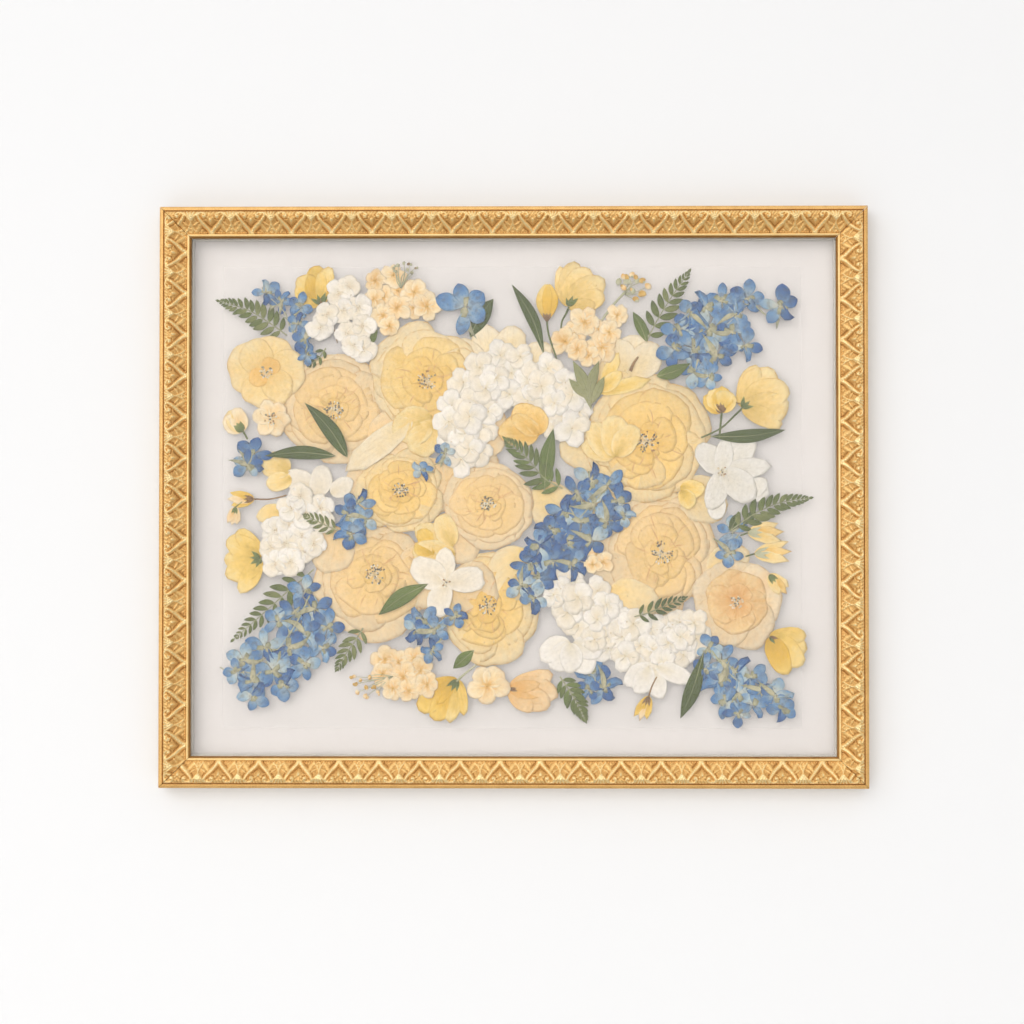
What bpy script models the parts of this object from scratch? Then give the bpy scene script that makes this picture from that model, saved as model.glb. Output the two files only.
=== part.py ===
"""Pressed flower frame: dried flowers between two panes in an ornamented gilt moulding.

Metres, +Z up. The frame hangs upright with its face towards -Y. The origin is the middle
of its box: half way across, half way up, and half way through its depth.
"""
import math

import bmesh
import bpy
from mathutils import Matrix, Vector

MM = 0.001

# ---- driving sizes ----------------------------------------------------------------------
FRAME_WIDTH = 547 * MM
FRAME_HEIGHT = 449 * MM
RAIL_FACE = 25.7 * MM        # width of the moulding, seen from the front
RAIL_DEPTH = 22 * MM         # back of the moulding to its crest
LIP_DEPTH = 6 * MM           # how far the lip covers the panes
LIP_HEIGHT = 11.5 * MM       # back of the moulding to the back of the lip
PANE_THICKNESS = 2 * MM
FLOWER_SPACE = 4.3 * MM      # clear space between the panes
PAD_HEIGHT = 2.5 * MM        # wall pad, from the moulding's back to the wall
FIT_GAP = 0.3 * MM           # left between pieces that touch
SHEET = 0.4 * MM             # a pressed flower's thickness
LAYER_PITCH = SHEET + FIT_GAP

# Depths, from the front (-Y) to the wall (+Y).
DEPTH = RAIL_DEPTH + PAD_HEIGHT
WALL_Y = DEPTH / 2
RAIL_BACK_Y = WALL_Y - PAD_HEIGHT
LIP_BACK_Y = RAIL_BACK_Y - LIP_HEIGHT
FRONT_PANE_Y = LIP_BACK_Y + FIT_GAP
SPACE_Y = FRONT_PANE_Y + PANE_THICKNESS
BACK_PANE_Y = SPACE_Y + FLOWER_SPACE
PANE_BACK_Y = BACK_PANE_Y + PANE_THICKNESS

# The panes' half sizes, inside the rebate.
REBATE_INSET = RAIL_FACE - LIP_DEPTH
PANE_HALF_X = FRAME_WIDTH / 2 - REBATE_INSET - FIT_GAP
PANE_HALF_Z = FRAME_HEIGHT / 2 - REBATE_INSET - FIT_GAP


# ---- scene, collections, materials --------------------------------------------------------
for old in list(bpy.data.objects):
    bpy.data.objects.remove(old, do_unlink=True)

parts = bpy.data.collections.new("pressed_flower_frame")
cutters = bpy.data.collections.new("cutters")
bpy.context.scene.collection.children.link(parts)
bpy.context.scene.collection.children.link(cutters)


def finish(name, colour, roughness, metallic=0.0, alpha=1.0):
    """A plain surface: its colour, how rough it is and whether it is metal."""
    material = bpy.data.materials.new(name)
    material.use_nodes = True
    shader = material.node_tree.nodes["Principled BSDF"]
    shader.inputs["Base Color"].default_value = (*colour, 1.0)
    shader.inputs["Roughness"].default_value = roughness
    shader.inputs["Metallic"].default_value = metallic
    shader.inputs["Alpha"].default_value = alpha
    return material


GILT = finish("gilt", (0.72, 0.43, 0.15), 0.35, metallic=0.6)
GLASS = finish("glass", (0.96, 0.97, 0.96), 0.03, alpha=0.15)
FILM = finish("film", (0.90, 0.90, 0.88), 0.10, alpha=0.15)
STEEL = finish("steel", (0.62, 0.62, 0.60), 0.35, metallic=1.0)
RUBBER = finish("rubber", (0.80, 0.80, 0.78), 0.60)
PEACH = finish("peach_petal", (0.93, 0.66, 0.38), 0.75)
CREAM = finish("cream_petal", (0.95, 0.80, 0.50), 0.75)
YELLOW = finish("yellow_petal", (0.93, 0.68, 0.15), 0.75)
WHITE = finish("white_petal", (0.88, 0.85, 0.76), 0.75)
BLUE = finish("blue_petal", (0.13, 0.25, 0.55), 0.75)
GREEN = finish("green_leaf", (0.14, 0.21, 0.09), 0.75)


def add_mesh(name, mesh_data, material, collection=parts):
    """Turns a bmesh into an object of its own, with its material."""
    mesh = bpy.data.meshes.new(name)
    mesh_data.to_mesh(mesh)
    mesh_data.free()
    mesh.materials.append(material)
    piece = bpy.data.objects.new(name, mesh)
    collection.objects.link(piece)
    return piece


def box(name, low, high, material, collection=parts):
    """A plain block between two corners."""
    block = bmesh.new()
    bmesh.ops.create_cube(block, size=1.0)
    size = Vector(high) - Vector(low)
    middle = (Vector(high) + Vector(low)) / 2
    bmesh.ops.scale(block, vec=size, verts=block.verts)
    bmesh.ops.translate(block, vec=middle, verts=block.verts)
    return add_mesh(name, block, material, collection)


def cut(piece, cutter):
    """Takes the cutter's shape out of the piece."""
    cutter.hide_render = True
    cutter.display_type = "WIRE"
    difference = piece.modifiers.new("cut", "BOOLEAN")
    difference.operation = "DIFFERENCE"
    difference.object = cutter


# ---- moulding -----------------------------------------------------------------------------
# Section of the rail: distance in from the outer edge, and height above the back, in mm.
# Smooth outer band, groove, crest, slope down towards the panes, bead, sight edge, rebate.
RAIL_SECTION = [
    (0, 0), (0, 17.2), (0.5, 18.6), (1.6, 19.6), (4.4, 20.2), (5.1, 19.4), (6.2, 20.8),
    (8.8, 22), (12, 20.9), (17, 17.8), (21.8, 15.7), (22.4, 16.4), (24.4, 16.4),
    (25.7, 15.2), (25.7, 11.5), (19.7, 11.5), (19.7, 0),
]


def rail(name, length, side_turn):
    """One mitred rail, drawn as the bottom rail and turned about Y into its place."""
    half = length / 2
    across = FRAME_HEIGHT / 2 if length == FRAME_WIDTH else FRAME_WIDTH / 2
    mitre_gap = FIT_GAP / 2 * math.sqrt(2)
    stick = bmesh.new()
    corners = []
    for inset, height in RAIL_SECTION:
        corners.append(stick.verts.new((0, RAIL_BACK_Y - height * MM, -across + inset * MM)))
    end = stick.faces.new(corners)
    grown = bmesh.ops.extrude_face_region(stick, geom=[end])
    far_end = [item for item in grown["geom"] if isinstance(item, bmesh.types.BMVert)]
    for sign, ring in ((-1, corners), (1, far_end)):
        for vert in ring:
            inset = vert.co.z + across
            vert.co.x = sign * (half - inset - mitre_gap)
    bmesh.ops.recalc_face_normals(stick, faces=stick.faces)
    bmesh.ops.rotate(stick, cent=(0, 0, 0), verts=stick.verts,
                     matrix=Matrix.Rotation(math.radians(side_turn), 3, "Y"))
    return add_mesh(name, stick, GILT)


rails = {
    "rail_bottom": rail("rail_bottom", FRAME_WIDTH, 0),
    "rail_left": rail("rail_left", FRAME_HEIGHT, 90),
    "rail_top": rail("rail_top", FRAME_WIDTH, 180),
    "rail_right": rail("rail_right", FRAME_HEIGHT, 270),
}


# ---- panes, spacers and the clear film --------------------------------------------------
for pane_name, pane_y in (("pane_front", FRONT_PANE_Y), ("pane_back", BACK_PANE_Y)):
    box(pane_name, (-PANE_HALF_X, pane_y, -PANE_HALF_Z),
        (PANE_HALF_X, pane_y + PANE_THICKNESS, PANE_HALF_Z), GLASS)

SPACER_WIDTH = 5 * MM
spacer_front = SPACE_Y + FIT_GAP
spacer_back = BACK_PANE_Y - FIT_GAP
for side, sign in (("bottom", -1), ("top", 1)):
    edges = sorted((sign * (PANE_HALF_Z - SPACER_WIDTH), sign * PANE_HALF_Z))
    box(f"spacer_{side}", (-PANE_HALF_X, spacer_front, edges[0]),
        (PANE_HALF_X, spacer_back, edges[1]), FILM)
for side, sign in (("left", -1), ("right", 1)):
    edges = sorted((sign * (PANE_HALF_X - SPACER_WIDTH), sign * PANE_HALF_X))
    stop = PANE_HALF_Z - SPACER_WIDTH - FIT_GAP
    box(f"spacer_{side}", (edges[0], spacer_front, -stop), (edges[1], spacer_back, stop), FILM)

FILM_HALF_X = 224.8 * MM
FILM_HALF_Z = 179.2 * MM
FILM_THICKNESS = 0.2 * MM
FILM_SHIFT_X = -1 * MM
film_y = BACK_PANE_Y - FIT_GAP - FILM_THICKNESS
box("carrier_film", (FILM_SHIFT_X - FILM_HALF_X, film_y, -FILM_HALF_Z),
    (FILM_SHIFT_X + FILM_HALF_X, film_y + FILM_THICKNESS, FILM_HALF_Z), FILM)


# ---- points that hold the panes in the rebate ---------------------------------------------
# Thin steel tabs driven into the rebate's wall, flat behind the back pane.
TAB_WIDTH = 12 * MM
TAB_THICKNESS = 0.6 * MM
TAB_SHOWING = 4.8 * MM
TAB_DRIVEN = 5 * MM
tab_y = PANE_BACK_Y + FIT_GAP
TAB_PLACES = [
    ("rail_bottom", -150 * MM), ("rail_bottom", 150 * MM),
    ("rail_top", -150 * MM), ("rail_top", 150 * MM),
    ("rail_left", -95 * MM), ("rail_left", 95 * MM),
    ("rail_right", -95 * MM), ("rail_right", 95 * MM),
]


def tab_corners(rail_name, place, extra):
    """The low and high corners of a tab, or of its slot where extra is above 0."""
    sign = -1 if rail_name in ("rail_bottom", "rail_left") else 1
    wall = PANE_HALF_Z if rail_name in ("rail_bottom", "rail_top") else PANE_HALF_X
    wall += FIT_GAP
    inner = wall - TAB_SHOWING - extra
    outer = wall + TAB_DRIVEN + extra
    run = sorted((sign * inner, sign * outer))
    spread = (place - TAB_WIDTH / 2 - extra, place + TAB_WIDTH / 2 + extra)
    depth = (tab_y - extra, tab_y + TAB_THICKNESS + extra)
    if rail_name in ("rail_bottom", "rail_top"):
        return (spread[0], depth[0], run[0]), (spread[1], depth[1], run[1])
    return (run[0], depth[0], spread[0]), (run[1], depth[1], spread[1])


for number, (rail_name, place) in enumerate(TAB_PLACES, start=1):
    box(f"glazing_point_{number}", *tab_corners(rail_name, place, 0), STEEL)
    slot = box(f"point_slot_{number}", *tab_corners(rail_name, place, FIT_GAP), STEEL, cutters)
    cut(rails[rail_name], slot)


# ---- sawtooth hanger and its two nails ----------------------------------------------------
HANGER_Z = FRAME_HEIGHT / 2 - 10 * MM
HANGER_LENGTH = 46 * MM
HANGER_HEIGHT = 9 * MM
HANGER_SHEET = 0.8 * MM
HANGER_RISE = 1.2 * MM       # the middle stands off the wood by this much
STEP_X = 14 * MM             # where the ends step up to the middle
RAMP = 2.5 * MM
TEETH = 9
TOOTH_PITCH = 2.4 * MM
TOOTH_HEIGHT = 1.4 * MM
NAIL_X = 18.5 * MM
NAIL_SIDES = 16

hanger_outline = [(-HANGER_LENGTH / 2, HANGER_HEIGHT / 2), (-HANGER_LENGTH / 2, -HANGER_HEIGHT / 2)]
first_tooth = -TEETH * TOOTH_PITCH / 2
hanger_outline.append((first_tooth, -HANGER_HEIGHT / 2))
for tooth in range(TEETH):
    tooth_x = first_tooth + tooth * TOOTH_PITCH
    hanger_outline.append((tooth_x + TOOTH_PITCH / 2, -HANGER_HEIGHT / 2 + TOOTH_HEIGHT))
    hanger_outline.append((tooth_x + TOOTH_PITCH, -HANGER_HEIGHT / 2))
hanger_outline += [(HANGER_LENGTH / 2, -HANGER_HEIGHT / 2), (HANGER_LENGTH / 2, HANGER_HEIGHT / 2)]

strip = bmesh.new()
hanger_front = RAIL_BACK_Y + FIT_GAP
edge_verts = [strip.verts.new((x, hanger_front, HANGER_Z + z)) for x, z in hanger_outline]
face = strip.faces.new(edge_verts)
lifted = bmesh.ops.extrude_face_region(strip, geom=[face])
back_verts = [item for item in lifted["geom"] if isinstance(item, bmesh.types.BMVert)]
bmesh.ops.translate(strip, vec=(0, HANGER_SHEET, 0), verts=back_verts)
for fold_x in (-STEP_X - RAMP, -STEP_X, STEP_X, STEP_X + RAMP):
    everything = strip.verts[:] + strip.edges[:] + strip.faces[:]
    bmesh.ops.bisect_plane(strip, geom=everything, plane_co=(fold_x, 0, 0), plane_no=(1, 0, 0))
for vert in strip.verts:
    share = (STEP_X + RAMP - abs(vert.co.x)) / RAMP
    vert.co.y += HANGER_RISE * min(1.0, max(0.0, share))
bmesh.ops.recalc_face_normals(strip, faces=strip.faces)
hanger = add_mesh("sawtooth_hanger", strip, STEEL)


def rod(name, x, z, front, back, radius, material, collection=parts):
    """A round bar along Y between two depths."""
    bar = bmesh.new()
    bmesh.ops.create_cone(bar, cap_ends=True, segments=NAIL_SIDES, radius1=radius,
                          radius2=radius, depth=back - front)
    bmesh.ops.rotate(bar, cent=(0, 0, 0), verts=bar.verts,
                     matrix=Matrix.Rotation(math.radians(90), 3, "X"))
    bmesh.ops.translate(bar, vec=(x, (front + back) / 2, z), verts=bar.verts)
    return add_mesh(name, bar, material, collection)


NAIL_RADIUS = 0.7 * MM
NAIL_HEAD_RADIUS = 1.7 * MM
NAIL_HEAD = 0.6 * MM
NAIL_LENGTH = 12 * MM
HOLE_RADIUS = NAIL_RADIUS + FIT_GAP
plate_back = hanger_front + HANGER_SHEET
for side, nail_x in (("left", -NAIL_X), ("right", NAIL_X)):
    nail = bmesh.new()
    head_front = plate_back + FIT_GAP
    half_turn = Matrix.Rotation(math.radians(-90), 3, "X")
    ring = bmesh.ops.create_circle(nail, cap_ends=True, segments=NAIL_SIDES, radius=NAIL_RADIUS)
    bmesh.ops.rotate(nail, cent=(0, 0, 0), verts=nail.verts, matrix=half_turn)
    bmesh.ops.translate(nail, vec=(nail_x, head_front - NAIL_LENGTH, HANGER_Z), verts=nail.verts)
    grown = bmesh.ops.extrude_face_region(nail, geom=nail.faces[:])
    neck = [item for item in grown["geom"] if isinstance(item, bmesh.types.BMVert)]
    bmesh.ops.translate(nail, vec=(0, NAIL_LENGTH, 0), verts=neck)
    top_face = [item for item in grown["geom"] if isinstance(item, bmesh.types.BMFace)]
    spread = bmesh.ops.extrude_face_region(nail, geom=top_face)
    rim = [item for item in spread["geom"] if isinstance(item, bmesh.types.BMVert)]
    bmesh.ops.delete(nail, geom=top_face, context="FACES_ONLY")
    widen = NAIL_HEAD_RADIUS / NAIL_RADIUS
    bmesh.ops.scale(nail, vec=(widen, 1, widen), verts=rim,
                    space=Matrix.Translation((-nail_x, 0, -HANGER_Z)))
    rim_face = [item for item in spread["geom"] if isinstance(item, bmesh.types.BMFace)]
    capped = bmesh.ops.extrude_face_region(nail, geom=rim_face)
    crown = [item for item in capped["geom"] if isinstance(item, bmesh.types.BMVert)]
    bmesh.ops.delete(nail, geom=rim_face, context="FACES_ONLY")
    bmesh.ops.translate(nail, vec=(0, NAIL_HEAD, 0), verts=crown)
    bmesh.ops.recalc_face_normals(nail, faces=nail.faces)
    add_mesh(f"hanger_nail_{side}", nail, STEEL)
    for target, front in ((rails["rail_top"], head_front - NAIL_LENGTH - FIT_GAP),
                          (hanger, hanger_front - FIT_GAP)):
        hole = rod(f"{target.name}_hole_{side}", nail_x, HANGER_Z, front, WALL_Y,
                   HOLE_RADIUS, STEEL, cutters)
        cut(target, hole)


# ---- wall pads ----------------------------------------------------------------------------
PAD_RADIUS = 5 * MM
PAD_ROUNDING = 0.6 * MM
PAD_INSET = 11 * MM
for level, z_sign in (("lower", -1), ("upper", 1)):
    for side, x_sign in (("left", -1), ("right", 1)):
        pad = bmesh.new()
        pad_depth = PAD_HEIGHT - FIT_GAP
        bmesh.ops.create_cone(pad, cap_ends=True, segments=24, radius1=PAD_RADIUS,
                              radius2=PAD_RADIUS, depth=pad_depth)
        wall_edges = [edge for edge in pad.edges if all(v.co.z > 0 for v in edge.verts)]
        bmesh.ops.bevel(pad, geom=wall_edges, offset=PAD_ROUNDING, segments=2, profile=0.5,
                        affect="EDGES", material=-1)
        bmesh.ops.rotate(pad, cent=(0, 0, 0), verts=pad.verts,
                         matrix=Matrix.Rotation(math.radians(-90), 3, "X"))
        place = (x_sign * (FRAME_WIDTH / 2 - PAD_INSET), WALL_Y - pad_depth / 2,
                 z_sign * (FRAME_HEIGHT / 2 - PAD_INSET))
        bmesh.ops.translate(pad, vec=place, verts=pad.verts)
        add_mesh(f"wall_pad_{level}_{side}", pad, RUBBER)


# ---- pressed flowers ----------------------------------------------------------------------
# Each is a flat piece one sheet thick. Layer 1 lies next to the film, layer 5 next to the
# front pane. Outlines are in mm, x to the right and z up from the frame's middle.
def pressed(name, outline, layer, material, pointed=False, resolution=3):
    """A pressed piece: a closed flat outline, rounded through its points or pointed."""
    curve = bpy.data.curves.new(name, "CURVE")
    curve.dimensions = "2D"
    curve.fill_mode = "BOTH"
    curve.extrude = SHEET / 2
    curve.resolution_u = 1 if pointed else resolution
    spline = curve.splines.new("BEZIER")
    spline.bezier_points.add(len(outline) - 1)
    for knot, (x, z) in zip(spline.bezier_points, outline):
        knot.co = (x * MM, z * MM, 0)
        knot.handle_left_type = "VECTOR" if pointed else "AUTO"
        knot.handle_right_type = "VECTOR" if pointed else "AUTO"
    spline.use_cyclic_u = True
    curve.materials.append(material)
    piece = bpy.data.objects.new(name, curve)
    back_of_layers = film_y - FIT_GAP
    piece.location = (0, back_of_layers - SHEET / 2 - (layer - 1) * LAYER_PITCH, 0)
    piece.rotation_euler = (math.radians(90), 0, 0)
    parts.objects.link(piece)
    return piece


def bloom(x, z, across, up, lobes, depth=0.06, turn=0.0):
    """The outline of a round open flower: an oval whose edge is scalloped by its petals."""
    outline = []
    for step in range(2 * lobes):
        angle = turn + math.pi * step / lobes
        reach = 1.0 if step % 2 == 0 else 1.0 - depth
        outline.append((x + across / 2 * reach * math.cos(angle),
                        z + up / 2 * reach * math.sin(angle)))
    return outline


def frond(base, tip, width, pairs):
    """The outline of a fern frond: pairs of leaflets that shorten towards the tip."""
    start = Vector(base)
    run = Vector(tip) - start
    side = Vector((-run.y, run.x)).normalized()
    flank = []
    for number in range(pairs):
        along = 0.06 + 0.86 * number / pairs
        reach = width / 2 * (1.0 - along) ** 0.7
        step = 0.86 / pairs
        flank.append((along, width * 0.04))
        flank.append((along + step * 0.9, reach))
        flank.append((along + step * 1.15, reach * 0.75))
    left = [start + run * along + side * out for along, out in flank]
    right = [start + run * along - side * out for along, out in reversed(flank)]
    return [tuple(base)] + [tuple(p) for p in left] + [tuple(tip)] + [tuple(p) for p in right]


# Roses and other large open blooms.
pressed("rose_peach_upper_left", bloom(-140, 69, 80, 80, 7), 1, PEACH)
pressed("rose_peach_lower_left", bloom(-107, -62, 92, 82, 8), 1, PEACH)
pressed("rose_apricot_lower_middle", bloom(-18, -86, 74, 86, 7, turn=0.3), 1, CREAM)
pressed("rose_peach_right", bloom(114, -43, 84, 88, 9), 1, PEACH)
pressed("rose_cream_upper_left", bloom(-66, 88, 88, 88, 9), 2, CREAM)
pressed("rose_apricot_left", bloom(-84, -4, 62, 62, 6), 2, PEACH)
pressed("rose_apricot_upper_right", bloom(103, 43, 88, 90, 8), 2, CREAM)
pressed("rose_peach_middle", bloom(-18, -6, 62, 60, 7), 3, PEACH)
pressed("poppy_cream_left", bloom(-190, 95, 58, 58, 5, depth=0.1), 2, CREAM)
pressed("poppy_cream_right", bloom(171, -81, 62, 62, 6, depth=0.1), 2, CREAM)
pressed("dogwood_white", bloom(-52, -62, 54, 52, 4, depth=0.45, turn=0.5), 4, WHITE)

# Yellow and peach blooms pressed from the side.
pressed("buttercup_upper_left", [(-169, 160), (-158, 175), (-138, 179), (-140, 160), (-147, 147),
                                 (-157, 148)], 1, YELLOW)
pressed("poppy_yellow_upper", [(32, 177), (48, 180), (67, 167), (71, 154), (54, 147), (44, 147),
                               (40, 131), (35, 131), (37, 152)], 2, YELLOW)
pressed("buttercup_right", [(178, 103), (192, 93), (204, 74), (200, 56), (180, 62), (146, 43),
                            (171, 69), (175, 84)], 3, YELLOW)
pressed("buttercup_left", [(-210, -27), (-197, -40), (-190, -53), (-202, -74), (-213, -67),
                           (-218, -48)], 3, YELLOW)
pressed("buttercup_bottom", [(-75, -148), (-60, -152), (-41, -147), (-38, -167), (-53, -172),
                             (-69, -161)], 2, YELLOW)
pressed("bloom_peach_bottom", [(-5, -157), (5, -139), (24, -142), (33, -153), (13, -167),
                               (-6, -171)], 2, PEACH)

# Heads and sprays of small florets.
pressed("hydrangea_upper", [(-30, 14), (-45, 28), (-45, 50), (-30, 77), (-14, 102), (0, 128),
                            (22, 122), (38, 106), (56, 80), (63, 62), (55, 42), (38, 42), (24, 52),
                            (19, 70), (5, 78), (-7, 70), (-14, 50), (-12, 30)], 4, WHITE)
pressed("hydrangea_lower", [(28, -54), (40, -60), (50, -51), (66, -64), (84, -90), (100, -100),
                            (115, -108), (128, -90), (143, -78), (149, -98), (142, -118),
                            (126, -133), (104, -136), (80, -134), (58, -124), (40, -108),
                            (40, -92), (27, -78)], 3, WHITE)
pressed("stock_upper_left", [(-108, 168), (-97, 177), (-80, 178), (-60, 157), (-50, 140),
                             (-66, 133), (-86, 136), (-94, 122), (-110, 126), (-114, 150)],
        3, CREAM)
pressed("stock_upper_right", [(27, 118), (43, 140), (58, 144), (72, 135), (87, 146), (102, 157),
                              (97, 130), (82, 116), (71, 95), (54, 80), (38, 96)], 3, CREAM)
pressed("stock_lower", [(-106, -129), (-88, -114), (-72, -101), (-58, -124), (-58, -140),
                        (-75, -148), (-87, -163), (-98, -155), (-110, -147)], 3, CREAM)
pressed("florets_white_upper_left", [(-137, 164), (-121, 158), (-108, 143), (-112, 122),
                                     (-109, 106), (-132, 109), (-150, 115), (-160, 124),
                                     (-146, 140)], 4, WHITE)
pressed("florets_white_left", [(-175, 19), (-150, 8), (-134, -10), (-145, -30), (-162, -49),
                               (-170, -59), (-186, -56), (-198, -34), (-196, -16), (-180, -6)],
        4, WHITE)
pressed("delphinium_upper_left", [(-205, 152), (-193, 163), (-184, 166), (-170, 152), (-158, 140),
                                  (-146, 132), (-158, 118), (-157, 102), (-167, 110), (-175, 126),
                                  (-184, 144)], 3, BLUE)
pressed("delphinium_upper_right", [(130, 105), (114, 120), (128, 134), (138, 150), (158, 150),
                                   (170, 164), (186, 161), (212, 154), (208, 134), (192, 134),
                                   (182, 116), (168, 97), (151, 80), (130, 90)], 4, BLUE)
pressed("delphinium_middle", [(58, 30), (76, 12), (86, -10), (74, -32), (66, -49), (44, -60),
                              (26, -74), (16, -84), (6, -72), (0, -62), (8, -44), (10, -20),
                              (28, -14), (32, 4), (38, 18)], 4, BLUE)
pressed("delphinium_lower_left", [(-170, -60), (-155, -77), (-131, -110), (-134, -128),
                                  (-152, -141), (-176, -155), (-202, -166), (-220, -148),
                                  (-216, -122), (-202, -117), (-190, -108), (-182, -80)], 3, BLUE)
pressed("delphinium_lower_right", [(146, -110), (172, -128), (196, -130), (208, -146), (213, -160),
                                   (201, -176), (182, -173), (162, -172), (146, -150),
                                   (138, -132)], 4, BLUE)

# Foliage.
pressed("fern_upper_left", frond((-172, 120), (-227, 150), 42, 9), 1, GREEN, pointed=True)
pressed("fern_upper_right", frond((101, 116), (135, 173), 40, 9), 1, GREEN, pointed=True)
pressed("fern_middle", frond((30, -16), (-10, 46), 44, 9), 5, GREEN, pointed=True)
pressed("fern_lower_left", frond((-150, -52), (-215, -110), 46, 9), 2, GREEN, pointed=True)
pressed("leaf_pair_left", [(-160, 71), (-140, 62), (-127, 46), (-126, 31), (-142, 24), (-166, 23),
                           (-190, 30), (-166, 35), (-148, 35), (-147, 46), (-156, 58)], 5, GREEN)
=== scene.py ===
"""Pressed flower frame: dried flowers between two panes, in an ornamented gilt moulding.

Metres, +Z up, the frame's face towards -Y. The sections follow the frame as it is put
together: the moulding, the flowers and leaves laid on the film, then the panes that close it.
"""
import math
import random

import bmesh
import bpy
import numpy as np
from mathutils import Matrix, Vector


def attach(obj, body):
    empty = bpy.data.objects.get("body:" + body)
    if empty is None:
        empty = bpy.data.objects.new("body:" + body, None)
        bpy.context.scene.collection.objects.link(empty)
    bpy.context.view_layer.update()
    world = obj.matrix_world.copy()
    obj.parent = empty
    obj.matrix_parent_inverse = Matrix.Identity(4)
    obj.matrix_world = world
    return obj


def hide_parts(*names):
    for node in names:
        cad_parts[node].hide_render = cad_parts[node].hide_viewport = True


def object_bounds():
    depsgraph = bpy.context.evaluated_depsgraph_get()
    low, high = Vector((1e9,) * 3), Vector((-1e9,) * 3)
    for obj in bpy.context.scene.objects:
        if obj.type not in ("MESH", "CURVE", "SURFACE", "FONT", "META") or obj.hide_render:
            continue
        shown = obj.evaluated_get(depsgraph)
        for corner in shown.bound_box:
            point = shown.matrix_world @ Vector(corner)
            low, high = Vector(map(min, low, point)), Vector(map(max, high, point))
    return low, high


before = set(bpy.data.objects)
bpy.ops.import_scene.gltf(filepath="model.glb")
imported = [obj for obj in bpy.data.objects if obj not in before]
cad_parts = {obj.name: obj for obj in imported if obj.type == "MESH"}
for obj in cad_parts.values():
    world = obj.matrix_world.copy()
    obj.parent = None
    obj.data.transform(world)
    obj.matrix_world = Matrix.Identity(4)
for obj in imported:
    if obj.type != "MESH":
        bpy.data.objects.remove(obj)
cad_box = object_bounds()

MM = 0.001


# ---- Moulding ----------------------------------------------------------------------------------
# Four lengths of softwood moulding with pressed composition ornament, gilded, toned with a
# brown glaze and rubbed back on the high places, with painted shade in the hollows and painted
# highlights on the high places. The rails are mitred and glued.
RAIL_BACK_Y = 9.75
FRAME_HALF_X, FRAME_HALF_Z = 273.5, 224.5
MITRE_GAP = 0.16
# Section: distance in from the outer edge, height above the moulding's back.
FACE = [(0, 17.2), (0.1, 18.2), (0.35, 19.0), (0.8, 19.5), (1.5, 19.7), (2.3, 19.85),
        (3.0, 19.9), (3.35, 19.5), (3.6, 18.9), (3.9, 19.0), (4.3, 20.0), (5.0, 20.9),
        (7.6, 22.0), (10.8, 20.9), (15.8, 17.9), (20.2, 15.85), (20.7, 15.7), (21.0, 16.15),
        (21.4, 16.6), (22.0, 16.75), (22.6, 16.5), (22.95, 16.0), (23.2, 15.55),
        (23.6, 15.3), (23.9, 14.9), (24.0, 14.5)]
BACK = [(24.0, 13.0), (24.0, 11.5), (22.0, 11.5), (19.7, 11.5), (19.7, 6.0), (19.7, 0.0),
        (13.0, 0.0), (6.5, 0.0), (0.0, 0.0), (0.0, 6.0), (0.0, 12.0), (0.0, 17.2)]
ROW_PITCH = 0.42
COLUMN_PITCH = 0.52
RELIEF = 1.2                   # how far the ornament rises, and its ground is sunk
GROUND = 0.35
# How much the bare section is rubbed, with painted shade in the groove and under the lip and a
# painted
# highlight along the lip: places in from the outer edge, and wear and painted light from 0 to 1.
WEAR_AND_PAINTED_LIGHT_AT = [0, 0.6, 2.4, 3.0, 3.3, 3.7, 4.0, 20.5, 20.7, 21.1, 22.7, 23.1, 24.0]
WEAR_AND_PAINTED_LIGHT = [0.36, 0.42, 0.44, 0.38, 0.05, 0.05, 0.36, 0.36, 0.1, 0.85, 0.85, 0.05, 0.1]
# The beads get the value of rubbed gold with a painted highlight.
BEAD_INSET, BEAD_HEIGHT, BEAD_RADIUS, BEAD_PITCH, BEAD_WEAR_AND_HIGHLIGHT = 20.0, 15.75, 0.62, 1.9, 0.62
LIP_INSET = 21.0


def path_distance(a, u, points):
    """Distance from each place to a broken line, and how far along the line (0 to 1)."""
    points = [np.array(p, float) for p in points]
    lengths = [np.linalg.norm(q - p) for p, q in zip(points, points[1:])]
    best = np.full(a.shape, 1e9)
    along = np.zeros(a.shape)
    walked = 0.0
    for p, q, length in zip(points, points[1:], lengths):
        d = (q - p) / length
        t = np.clip((a - p[0]) * d[0] + (u - p[1]) * d[1], 0, length)
        gap = np.hypot(a - p[0] - t * d[0], u - p[1] - t * d[1])
        nearer = gap < best
        best = np.where(nearer, gap, best)
        along = np.where(nearer, (walked + t) / sum(lengths), along)
        walked += length
    return best, along


def step(low, high, value):
    """Smooth rise from 0 at low to 1 at high."""
    t = np.clip((value - low) / (high - low), 0, 1)
    return t * t * (3 - 2 * t)


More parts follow.
